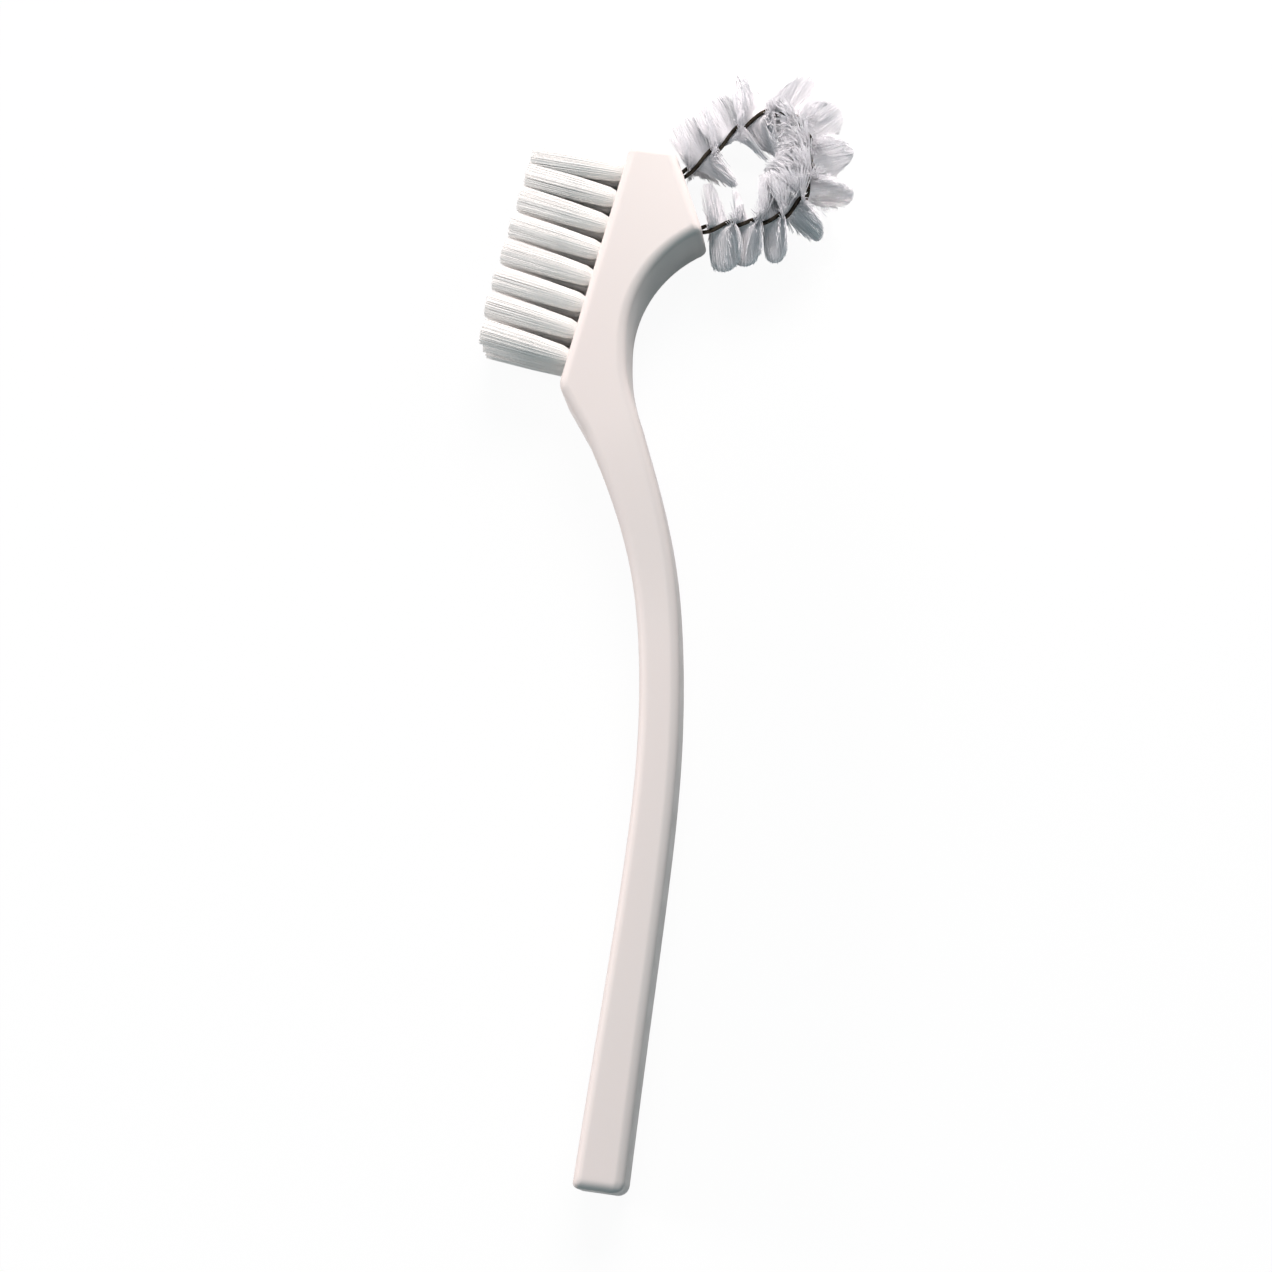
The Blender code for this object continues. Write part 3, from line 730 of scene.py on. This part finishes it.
@dataclass(frozen=True)
class Tufts:
    """Rows of nylon tufts, every filament folded round the metal anchor at the bottom of its hole."""

    handle: Handle
    rows: int = 8
    columns: int = 3
    first_row: float = 0.00445
    row_pitch: float = 0.00497
    column_pitch: float = 0.0036
    hole_radius: float = 0.00135
    hole_depth: float = 0.0042
    lengths: tuple[float, ...] = (0.0166, 0.0167, 0.0167, 0.0168, 0.0168, 0.0169, 0.0168, 0.0162)
    tip_radius: float = 0.00235
    flare_power: float = 0.3
    splay: float = 0.0006
    lean: float = math.radians(-2.5)
    top_row_lean: float = math.radians(5.0)
    leaning_rows: int = 2
    fold_thickness: float = 0.0005
    anchor_height: float = 0.0014
    anchor_thickness: float = 0.00035
    filament_radius: float = 0.00009
    folded_filaments: int = 230
    ring_shares: tuple[float, ...] = (1, 0.985, 0.45, 0.1)
    dome: float = 0.00018
    unevenness: float = 0.00010
    scatter: float = 0.00007
    seed: int = 11
    finish: NylonFilament = NylonFilament(
        Slot.TUFT_NYLON, (0.97, 0.955, 0.93), (0.985, 0.975, 0.96), (0.94, 0.92, 0.89)
    )
    metal: DrawnMetal = DrawnMetal(Slot.ANCHOR_METAL, (0.72, 0.66, 0.52), (0.58, 0.52, 0.40), (0.28, 0.42))

    def roots(self) -> list[tuple[int, int, Vector]]:
        """Each tuft's row and column, and the middle of its hole's mouth."""
        crown = self.handle.head_corners()[1] + self.handle.zero()
        places = []
        for row in range(self.rows):
            for column in range(self.columns):
                root = crown + self.handle.face_down() * (self.first_row + self.row_pitch * row)
                root.z += self.column_pitch * (column - (self.columns - 1) / 2)
                places.append((row, column, root))
        return places

    def add_holes(self, bm: bmesh.types.BMesh) -> None:
        """Adds the tufts' blind holes to a cutter."""
        out = self.handle.face_out()
        overrun = self.handle.cut_overrun
        depth = self.hole_depth + overrun
        for _, _, root in self.roots():
            middle = root + out * (overrun - depth / 2)
            add_rod(bm, self.handle.hole_sides, self.hole_radius, depth, middle, out)

    def folded_lines(self, row: int, column: int, rng: np.random.Generator) -> tuple[np.ndarray, ...]:
        """The filaments of one tuft, upright over the hole's mouth, tip to tip round the anchor.

        Args:
            row: The tuft's row.
            column: Its column.
            rng: The source of the small differences between filaments.

        Returns:
            The rings' middles, their radii and their nearness to a tip, by filament and ring.
        """
        count = self.folded_filaments
        number = np.arange(2 * count)
        spread = np.sqrt((number + 0.5) / (2 * count))
        golden_half_turns = 3 - math.sqrt(5)
        angle = number * math.pi * golden_half_turns
        disc = np.stack([spread * np.cos(angle), spread * np.sin(angle)], axis=1)
        disc = disc[np.argsort(disc[:, 1])][count:]
        thin = self.filament_radius
        length = self.lengths[row]
        gap = self.handle.fit_gap
        root = self.hole_radius - gap - thin
        tip = self.tip_radius - thin
        underside = gap - self.hole_depth
        floor = underside + self.fold_thickness
        ceiling = floor + self.anchor_height
        beside = self.anchor_thickness / 2 + thin
        droop = max(0, 1 - row / self.leaning_rows) ** 2
        row_lean = self.lean + (self.top_row_lean - self.lean) * droop
        lean = np.array([self.splay * (column - (self.columns - 1) / 2), -math.tan(row_lean) * length])
        halves = []
        for side in (1, -1):
            flat = disc * (1, side)
            domed = length - self.dome * np.sum(flat ** 2, axis=1)
            ends = domed - np.abs(rng.normal(0, self.unevenness, count))
            stray = rng.normal(0, self.scatter, (count, 2))
            rings = []
            for share in self.ring_shares:
                place = flat * (root + (tip - root) * share ** self.flare_power) + (lean + stray) * share
                rings.append(np.column_stack([place, ends * share]))
            rings[1][:, 2] = ends - BEVEL_LENGTH * thin
            rings.append(np.column_stack([flat * root, np.full(count, -gap)]))
            pressed = side * beside + flat[:, 1] * (root - beside)
            for height in (ceiling, floor):
                rings.append(np.column_stack([flat[:, 0] * root, pressed, np.full(count, height)]))
            halves.append(rings)
        depth = underside + thin + (self.fold_thickness - 2 * thin) * (1 - disc[:, 1])
        fold = np.column_stack([disc[:, 0] * root, np.zeros(count), depth])
        centres = np.stack(halves[0] + [fold] + halves[1][::-1], axis=1)
        radii = np.full(centres.shape[:2], thin)
        radii[:, [0, -1]] = thin * TIP_RADIUS_SHARE
        near_tip = np.clip(centres[:, :, 2] / length, 0, 1)
        return centres, radii, near_tip

    def build(self) -> None:
        """Makes every tuft as a piece of its own, and dresses the anchors."""
        rng = np.random.default_rng(self.seed)
        nylon = self.finish.material()
        strip = self.metal.material()
        axes = np.array([UP, -self.handle.face_down(), self.handle.face_out()])
        for row, column, root in self.roots():
            name = f"r{row + 1}_c{column + 1}"
            lines, radii, near_tip = self.folded_lines(row, column, rng)
            centres = lines @ axes + np.array(root)
            across = np.broadcast_to(axes[0], centres.shape)
            bundle = RodBundle(FILAMENT_SIDES, centres.shape[1])
            tones = rng.random(len(centres))
            mesh = bundle.mesh(f"filaments_{name}", centres, across, radii, tones, near_tip)
            mesh.materials.append(nylon)
            finished_piece(f"filaments_{name}", mesh, [f"tuft_{name}"])
            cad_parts[f"anchor_{name}"].material_slots[0].material = strip


@dataclass(frozen=True)
class WireLoop:
    """Two wires twisted round each other, bent into a loop and pressed into the head's end face."""

    handle: Handle
    reach: float = 0.0231
    spread: float = 0.0187
    upper_socket_place: float = 0.0026
    lower_socket_place: float = 0.0133
    socket_depth: float = 0.0050
    wire_radius: float = 0.00036
    crest_places: tuple[float, ...] = (
        -0.0012, 0.0047, 0.0106, 0.0172, 0.0225, 0.0275, 0.0327, 0.0377, 0.0425, 0.0461, 0.0507, 0.0554,
        0.0600,
    )
    first_crest: int = -1
    pinch_gap: float = 0.00005
    ribbon_thickness: float = 0.00015
    line_shares: tuple[tuple[float, float], ...] = (
        (0.43, 0.494), (0.70, 0.605), (0.90, 0.54), (1.0, 0.29), (0.96, 0.0), (0.83, -0.29), (0.62, -0.405),
        (0.30, -0.34),
    )
    heart_shares: tuple[float, float] = (0.64, 0.11)
    sides: int = 14
    step: float = 0.00022
    # The wire's near-black colour and darker patches are painted shade: the galvanised wire itself is dull
    # grey, and this darkness stands for the shade it lies in among the filaments.
    finish: DrawnMetal = DrawnMetal(
        Slot.GALVANISED_WIRE, (0.05, 0.043, 0.034), (0.025, 0.021, 0.016), (0.5, 0.7)
    )

    def on_end_face(self, place: float) -> Vector:
        """A point down the middle of the end face, by its distance from the brow."""
        brow = self.handle.head_corners()[2] + self.handle.zero()
        return brow + self.handle.end_down() * place

    def base(self) -> Vector:
        """The middle of the end face between the two sockets."""
        return self.on_end_face((self.upper_socket_place + self.lower_socket_place) / 2)

    def inside(self, shares: tuple[float, float]) -> Vector:
        """A place given by shares of the loop's reach out of the end face and of its spread up along it."""
        out = self.handle.end_out() * self.reach * shares[0]
        return self.base() + out - self.handle.end_down() * self.spread * shares[1]

    def line(self) -> SmoothLine:
        """The pair's middle line, from the upper mouth to the lower."""
        upper = self.on_end_face(self.upper_socket_place)
        lower = self.on_end_face(self.lower_socket_place)
        return SmoothLine([upper] + [self.inside(shares) for shares in self.line_shares] + [lower])

    def half_turns(self, places: np.ndarray) -> np.ndarray:
        """Half turns of the twist, zero where a strand first crosses in front outside the socket.

        Args:
            places: Distances along the loop.

        Returns:
            The half turns at those places.
        """
        crests = np.array(self.crest_places)
        numbers = np.arange(len(crests)) + self.first_crest
        before = np.minimum(places - crests[0], 0) / (crests[1] - crests[0])
        after = np.maximum(places - crests[-1], 0) / (crests[-1] - crests[-2])
        return np.interp(places, crests, numbers) + before + after

    def axes(self, tangents: np.ndarray, turns: np.ndarray) -> tuple[np.ndarray, np.ndarray, np.ndarray]:
        """The ways out of the loop, along the pinched filaments and from strand to strand.

        Args:
            tangents: The loop's directions.
            turns: The half turns there.

        Returns:
            Rows of the three unit vectors.
        """
        outward = np.stack([-tangents[:, 1], tangents[:, 0], np.zeros(len(tangents))], axis=1)
        across = np.broadcast_to(np.array(UP), outward.shape)
        cosine = np.cos(-math.pi * turns)[:, None]
        sine = np.sin(-math.pi * turns)[:, None]
        return outward, outward * cosine + across * sine, across * cosine - outward * sine

    def wire_offset(self) -> float:
        """How far each strand's middle lies from the pair's middle line."""
        return self.wire_radius + self.pinch_gap + self.ribbon_thickness / 2

    def add_sockets(self, bm: bmesh.types.BMesh) -> None:
        """Adds the two wire sockets to a cutter."""
        line = self.line()
        overrun = self.handle.cut_overrun
        radius = self.wire_offset() + self.wire_radius + self.handle.fit_gap
        depth = self.socket_depth + self.handle.fit_gap + overrun
        points, tangents = line.at(np.array([0, line.length]))
        for mouth, inward in zip(points, (-tangents[0], tangents[1])):
            way = Vector(inward)
            middle = Vector(mouth) + way * (depth / 2 - overrun)
            add_rod(bm, self.handle.hole_sides, radius, depth, middle, way)

    def build(self) -> None:
        """Makes the two strands."""
        line = self.line()
        metal = self.finish.material()
        span = line.length + 2 * self.socket_depth
        places = np.linspace(-self.socket_depth, line.length + self.socket_depth, math.ceil(span / self.step))
        points, tangents = line.at(places)
        _, _, pair = self.axes(tangents, self.half_turns(places))
        bundle = RodBundle(self.sides, len(places))
        for strand in Strand:
            name = f"twisted_wire_{strand.name.lower()}"
            centres = (points + pair * self.wire_offset() * strand.value)[None]
            across = np.broadcast_to(np.array(UP), centres.shape)
            radii = np.full(centres.shape[:2], self.wire_radius)
            mesh = bundle.mesh(name, centres, across, radii, np.zeros(1), np.zeros(centres.shape[:2]))
            mesh.materials.append(metal)
            finished_piece(name, mesh, [f"wire_{strand.name.lower()}"])


@dataclass(frozen=True)
class Fan:
    """How the filaments on one side of a half turn stand. The lean is in degrees, the rest are shares.

    Attributes:
        lean: How far the petal leans along the wire, in degrees.
        width: The petal's width at its tips, as a share of the half turn.
        belly: How much wider it is halfway up, as a share of the half turn.
        peak: Where its filaments are longest, in half turns from the crossing.
        reach: Its longest filament, as a share of the filaments' full reach.
        rounding: How much shorter its filaments are at the sides.
        bluntness: The power with which they shorten.
        flatness: How far pressed filaments lie down into the plane of the loop.
        loose: The share of filaments that aren't pressed.
        parting: The power with which that share grows away from the crossing. At 0 it is the same all over.
        gather: How far the loose ones draw together upright.
        tangle: How much upright ones stray along the wire.
        cover: How far upright ones sweep back over the crossing.
    """

    lean: float = 0
    width: float = 1
    belly: float = 0
    peak: float = 0
    reach: float = 1
    rounding: float = 0.2
    bluntness: float = 2
    flatness: float = 0.85
    loose: float = 0.3
    parting: float = 0
    gather: float = 0.6
    tangle: float = 0.05
    cover: float = 0


@dataclass(frozen=True)
class Petal:
    """The filaments of one half turn of the wire, outside the loop and inside it."""

    outer: Fan
    inner: Fan


@dataclass(frozen=True)
class LoopFilaments:
    """Nylon filaments pinched between the two wires, whose twist fans them out into rows of petals."""

    loop: WireLoop
    reach: float = 0.0084
    filament_radius: float = 0.00005
    filaments_per_metre: float = 80000
    sections: int = 9
    loop_start: float = 0.0013
    heart_share: float = 1.3
    pinch_half_width: float = 0.0006
    shortest: float = 0.12
    unevenness: float = 0.02
    flutter: float = 0.025
    ring_shares: tuple[float, ...] = (1, 0.98, 0.8, 0.6, 0.4, 0.2)
    pinch_tip_share: float = 0.05
    spacing: tuple[float, float] = (0.2, 0.8)
    pressing_rate: float = 1.4
    least_slope: float = 0.05
    seed: int = 23
    petals: tuple[Petal, ...] = (
        Petal(
            Fan(lean=12, width=0.8, reach=0.8, flatness=0.5, loose=0.5),
            Fan(lean=5, width=0.6, reach=0.5, flatness=0.3, loose=0.5),
        ),
        Petal(
            Fan(lean=12, width=1.5, belly=0.3, rounding=0.1, loose=0.4, parting=1, gather=0.2),
            Fan(width=0.3, peak=0.2, reach=0.95, rounding=0.4, bluntness=1.5, loose=0.5, parting=1),
        ),
        Petal(
            Fan(lean=15, width=1.5, belly=0.3, reach=0.92, rounding=0.1, loose=0.4, parting=1, gather=0.2),
            Fan(
                lean=-3, width=0.25, peak=0.38, rounding=0.9, bluntness=1, flatness=0.95, loose=0.45,
                parting=1,
            ),
        ),
        Petal(
            Fan(lean=12, width=0.2, belly=0.6, peak=-0.2, reach=1.08, rounding=0.5, bluntness=0.9, loose=0.2),
            Fan(lean=2, width=0.8, belly=0.3, peak=0.1, loose=0.4),
        ),
        Petal(
            Fan(lean=10, width=0.1, belly=0.9, rounding=0.4, bluntness=1, cover=0.5),
            Fan(lean=16, width=0.6, belly=0.8, rounding=0.1, flatness=0.7, loose=0.6, tangle=0.15, cover=0.9),
        ),
        Petal(
            Fan(lean=-12, width=0.7, belly=0.8, reach=0.87, rounding=0.35, loose=0.45, tangle=0.2, cover=0.9),
            Fan(lean=25, belly=0.6, flatness=0.75, loose=0.8, tangle=0.2, cover=0.9),
        ),
        Petal(
            Fan(lean=-11, width=0.7, belly=0.9, reach=0.9, rounding=0.35, loose=0.45, tangle=0.2, cover=0.9),
            Fan(lean=12, belly=0.6, flatness=0.75, loose=0.8, tangle=0.2, cover=0.9),
        ),
        Petal(
            Fan(
                lean=-7, width=-0.3, reach=0.96, rounding=0.15, flatness=0.8, loose=0.4, tangle=0.15,
                cover=0.9,
            ),
            Fan(lean=5, belly=0.6, flatness=0.75, loose=0.8, tangle=0.2, cover=0.9),
        ),
        Petal(
            Fan(lean=-4, width=-0.35, reach=0.87, rounding=0.1, flatness=0.8, loose=0.1),
            Fan(belly=0.3, flatness=0.75, loose=0.6, tangle=0.15, cover=0.5),
        ),
        Petal(
            Fan(lean=11, width=0.5, belly=0.2, reach=0.95, rounding=0.25, parting=1),
            Fan(width=0.8, belly=0.2, flatness=0.8, tangle=0.1),
        ),
        Petal(
            Fan(lean=5, width=1.2, reach=0.96, parting=1),
            Fan(width=0.6, peak=0.4, reach=0.72, rounding=0.9, bluntness=1.5, flatness=0.9, loose=0.1),
        ),
        Petal(
            Fan(lean=2, width=1.5, belly=0.2, parting=1),
            Fan(lean=-3, width=0.9, peak=0.3, rounding=0.8, bluntness=1.6, flatness=0.9, loose=0.1),
        ),
        Petal(
            Fan(width=0.6, reach=0.4, flatness=0.6),
            Fan(lean=-4, width=0.6, peak=-0.4, reach=0.8, rounding=0.8, flatness=0.6),
        ),
    )
    finish: NylonFilament = NylonFilament(
        Slot.LOOP_NYLON, (0.94, 0.935, 0.955), (0.965, 0.965, 0.985), (0.90, 0.90, 0.93)
    )

    def fan_values(self, nearest: np.ndarray, outer: np.ndarray, name: str) -> np.ndarray:
        """One field of each filament's own fan.

        Args:
            nearest: The number of each filament's half turn.
            outer: Whether it stands outside the loop.
            name: The field.

        Returns:
            The field's value, by filament.
        """
        outside = np.array([getattr(petal.outer, name) for petal in self.petals])
        inside = np.array([getattr(petal.inner, name) for petal in self.petals])
        return np.where(outer, outside[nearest], inside[nearest])

    def standing_lines(
        self, line: SmoothLine, start: float, end: float, rng: np.random.Generator
    ) -> tuple[np.ndarray, ...]:
        """The filaments of a stretch of the wire, each from tip to tip through the pinch.

        Args:
            line: The wire pair's middle line.
            start: Where the stretch starts on it.
            end: Where it ends.
            rng: The source of the small differences between filaments.

        Returns:
            The rings' middles, the ways across, the radii and the nearness to a tip, by filament and ring.
        """
        count = round((end - start) * self.filaments_per_metre)
        thin = self.filament_radius
        places = start + (np.arange(count) + rng.uniform(*self.spacing, count)) * (end - start) / count
        points, tangents = line.at(places)
        turns = self.loop.half_turns(places)
        outward, filament, pair = self.loop.axes(tangents, turns)
        points = points + pair * rng.uniform(-1, 1, (count, 1)) * self.loop.pinch_gap
        crest = np.round(turns).astype(int)
        aside = turns - crest
        nearest = np.clip(crest - self.loop.first_crest, 0, len(self.petals) - 1)
        pitch = np.gradient(np.array(self.loop.crest_places))[nearest]
        chance = rng.random(count)
        shares = np.array(self.ring_shares)
        halves = []
        for side in (1, -1):
            outer = side * np.cos(math.pi * crest) > 0
            fan = {item.name: self.fan_values(nearest, outer, item.name) for item in fields(Fan)}
            natural = np.where(outer, 0, math.pi) - math.pi * aside
            loose = chance < fan["loose"] * (1 + fan["parting"]) * np.abs(2 * aside) ** fan["parting"]
            pressed = fan["flatness"] * (1 - loose)
            gathered = fan["gather"] * loose
            flat = np.arctan2(np.sin(natural) * (1 - pressed), np.cos(natural) * (1 - gathered))
            flat = flat + np.round((natural - flat) / (2 * math.pi)) * 2 * math.pi
            stray = rng.normal(0, 1, (2, count))
            from_peak = aside - fan["peak"]
            fullness = 1 - fan["rounding"] * np.abs(2 * from_peak) ** fan["bluntness"]
            reach = self.reach * fan["reach"] * np.maximum(fullness, self.shortest)
            reach = reach * (1 - np.abs(rng.normal(0, self.unevenness, count)))
            rings = []
            for along in shares:
                pressing = min(along * self.pressing_rate, 1)
                angle = natural + (flat - natural) * pressing + self.flutter * stray[0] * along
                lying = np.abs(np.cos(angle))
                way = outward * np.cos(angle)[:, None] + np.array(UP) * np.sin(angle)[:, None]
                length = np.minimum(reach, self.room(points, outward, way)) * along
                slope = np.tan(np.radians(fan["lean"])) * lying + self.flutter * stray[1]
                slope = slope + (1 - lying) * fan["tangle"] * stray[1]
                opening = (fan["width"] - 1) * along + fan["belly"] * 4 * along * (1 - along)
                sweep = slope * length + from_peak * pitch * opening * lying
                sweep = sweep - aside * pitch * fan["cover"] * (1 - lying) * along
                rings.append(points + way * length[:, None] + tangents * sweep[:, None])
            rings[1] = rings[0] - unit(rings[0] - rings[2]) * BEVEL_LENGTH * thin
            rings.append(points + filament * side * self.pinch_half_width)
            halves.append(rings)
        centres = np.stack(halves[0] + [points] + halves[1][::-1], axis=1)
        centres[:, :, 2] = np.maximum(centres[:, :, 2], thin)
        radii = np.full(centres.shape[:2], thin)
        radii[:, [0, -1]] = thin * TIP_RADIUS_SHARE
        across = np.broadcast_to(tangents[:, None], centres.shape)
        ramp = np.append(shares, self.pinch_tip_share)
        near_tip = np.broadcast_to(np.concatenate([ramp, [0], ramp[::-1]]), centres.shape[:2])
        return centres, across, radii, near_tip

    def room(self, points: np.ndarray, outward: np.ndarray, way: np.ndarray) -> np.ndarray:
        """How far each filament may reach before the loop's heart or the floor.

        Args:
            points: Where the filaments leave the wire.
            outward: The ways out of the loop there.
            way: The filaments' ways.

        Returns:
            The longest reach of each.
        """
        base = np.array(self.loop.base())
        heart = np.array(self.loop.inside(self.loop.heart_shares)) - base
        share = np.clip((points - base) @ heart / (heart @ heart), 0, 1)
        gap = np.linalg.norm(points - base - heart * share[:, None], axis=1)
        inward = -np.sum(way * outward, axis=1)
        least = self.least_slope
        free = self.reach * 2
        to_heart = np.where(inward > least, gap * self.heart_share / np.maximum(inward, least), free)
        to_floor = np.where(way[:, 2] < -least, points[:, 2] / np.maximum(-way[:, 2], least), free)
        return np.minimum(to_heart, to_floor)

    def build(self) -> None:
        """Makes the filaments in equal stretches of the wire, each a piece of its own."""
        rng = np.random.default_rng(self.seed)
        nylon = self.finish.material()
        line = self.loop.line()
        span = (line.length - 2 * self.loop_start) / self.sections
        for i in range(self.sections):
            start = self.loop_start + span * i
            centres, across, radii, near_tip = self.standing_lines(line, start, start + span, rng)
            bundle = RodBundle(FILAMENT_SIDES, centres.shape[1])
            name = f"petals_{i + 1}"
            mesh = bundle.mesh(name, centres, across, radii, rng.random(len(centres)), near_tip)
            mesh.materials.append(nylon)
            finished_piece(name, mesh, [f"loop_filaments_{i + 1}"])


@dataclass(frozen=True)
class Lamp:
    """A round lamp. The spread of its light is in degrees."""

    name: str
    place: tuple[float, float, float]
    target: tuple[float, float, float]
    size: float
    power: float
    colour: Colour = (1.0, 0.89, 0.87)
    spread: float = 180

    def build(self) -> None:
        """Hangs the lamp."""
        light = bpy.data.lights.new(self.name, "AREA")
        light.shape = "DISK"
        light.size = self.size
        light.energy = self.power
        light.color = self.colour
        light.spread = math.radians(self.spread)
        lamp = placed(self.name, light)
        lamp.location = self.place
        lamp.rotation_euler = (Vector(self.target) - lamp.location).to_track_quat("-Z", "Y").to_euler()


@dataclass(frozen=True)
class Studio:
    """A pale floor, lamps, faint light from all round and the camera."""

    floor_size: float = 3.0
    floor_gap: float = 0.00002
    floor_glow: float = 0.94
    floor_colour: Colour = (0.06, 0.06, 0.06)
    ambient_colour: Colour = (0.68, 0.93, 1.0)
    ambient_strength: float = 0.32
    lamps: tuple[Lamp, ...] = (
        Lamp("key", (0.55, 3.25, 2.75), (0.0, 0.0, 0.0), 2.4, 154.0),
        Lamp("side", (-1.50, 0.40, 0.45), (0.0, 0.0, 0.0), 0.5, 20.0),
        Lamp("top", (0.062, 0.140, 0.065), (0.025, 0.08, 0.0), 0.05, 0.075),
        Lamp("bend", (0.120, 0.020, 0.10), (0.028, 0.0735, 0.005), 0.01, 0.0005, spread=12),
    )
    camera_place: tuple[float, float, float] = (0.04875, -0.12083, 0.5613)
    camera_right: tuple[float, float, float] = (0.9955, 0.0194, -0.0921)
    camera_up: tuple[float, float, float] = (0.0, 0.9785, 0.2065)
    lens: float = 93.96
    clip_start: float = 0.01

    def white_to_the_eye(self, tree: bpy.types.NodeTree) -> bpy.types.NodeSocket:
        """A switch that is on for camera, glossy and transmission rays.

        Args:
            tree: The node tree that it is added to.

        Returns:
            1 for those rays, and 0 for light on its way to a surface.
        """
        path = tree.nodes.new("ShaderNodeLightPath")
        value = path.outputs["Is Camera Ray"]
        for other in ("Is Glossy Ray", "Is Transmission Ray"):
            node = tree.nodes.new("ShaderNodeMath")
            node.operation = "MAXIMUM"
            tree.links.new(value, node.inputs[0])
            tree.links.new(path.outputs[other], node.inputs[1])
            value = node.outputs["Value"]
        return value

    def build_world(self) -> None:
        """Sets the light that comes from all round."""
        world = bpy.data.worlds.new("studio")
        bpy.context.scene.world = world
        world.use_nodes = True
        tree = world.node_tree
        seen = tree.nodes.new("ShaderNodeBackground")
        mixed = tree.nodes.new("ShaderNodeMixShader")
        around = tree.nodes["Background"]
        around.inputs["Color"].default_value = (*self.ambient_colour, 1)
        around.inputs["Strength"].default_value = self.ambient_strength
        seen.inputs["Color"].default_value = (1, 1, 1, 1)
        tree.links.new(self.white_to_the_eye(tree), mixed.inputs["Fac"])
        tree.links.new(around.outputs["Background"], mixed.inputs[1])
        tree.links.new(seen.outputs["Background"], mixed.inputs[2])
        tree.links.new(mixed.outputs["Shader"], tree.nodes["World Output"].inputs["Surface"])

    def build_floor(self) -> None:
        """Lays the floor, which looks white and still takes the brush's shadow."""
        bm = bmesh.new()
        place = Matrix.Translation((0, 0, -self.floor_gap))
        bmesh.ops.create_grid(bm, x_segments=1, y_segments=1, size=self.floor_size / 2, matrix=place)
        mesh = mesh_from(bm, "floor")
        material = bpy.data.materials.new("floor")
        material.use_nodes = True
        tree = material.node_tree
        tree.nodes.remove(tree.nodes["Principled BSDF"])
        matt = tree.nodes.new("ShaderNodeBsdfDiffuse")
        matt.inputs["Color"].default_value = (*self.floor_colour, 1)
        glow = tree.nodes.new("ShaderNodeEmission")
        strength = tree.nodes.new("ShaderNodeMath")
        strength.operation = "MULTIPLY"
        strength.inputs[1].default_value = self.floor_glow
        tree.links.new(self.white_to_the_eye(tree), strength.inputs[0])
        tree.links.new(strength.outputs["Value"], glow.inputs["Strength"])
        both = tree.nodes.new("ShaderNodeAddShader")
        tree.links.new(matt.outputs["BSDF"], both.inputs[0])
        tree.links.new(glow.outputs["Emission"], both.inputs[1])
        tree.links.new(both.outputs["Shader"], tree.nodes["Material Output"].inputs["Surface"])
        mesh.materials.append(material)
        floor = placed("floor", mesh)

    def build_camera(self) -> None:
        """Sets the camera where the photograph was taken from."""
        right, up = Vector(self.camera_right), Vector(self.camera_up)
        turn = Matrix((right, up, right.cross(up))).transposed().to_4x4()
        data = bpy.data.cameras.new("camera")
        data.lens = self.lens
        data.clip_start = self.clip_start
        camera = placed("camera", data)
        camera.matrix_world = Matrix.Translation(self.camera_place) @ turn
        bpy.context.scene.camera = camera

    def build(self) -> None:
        """Makes the whole studio."""
        self.build_camera()
        self.build_world()
        self.build_floor()
        for lamp in self.lamps:
            lamp.build()
        bpy.context.scene.view_settings.view_transform = "Standard"


def main() -> None:
    """Builds the studio and the brush, from the handle outwards."""
    logging.basicConfig(level=logging.INFO, format="%(message)s")
    Studio().build()
    handle = Handle()
    tufts = Tufts(handle)
    loop = WireLoop(handle)
    cutter = bmesh.new()
    tufts.add_holes(cutter)
    loop.add_sockets(cutter)
    handle.build(mesh_from(cutter, "holes"))
    tufts.build()
    loop.build()
    LoopFilaments(loop).build()


if __name__ == "__main__":
    main()
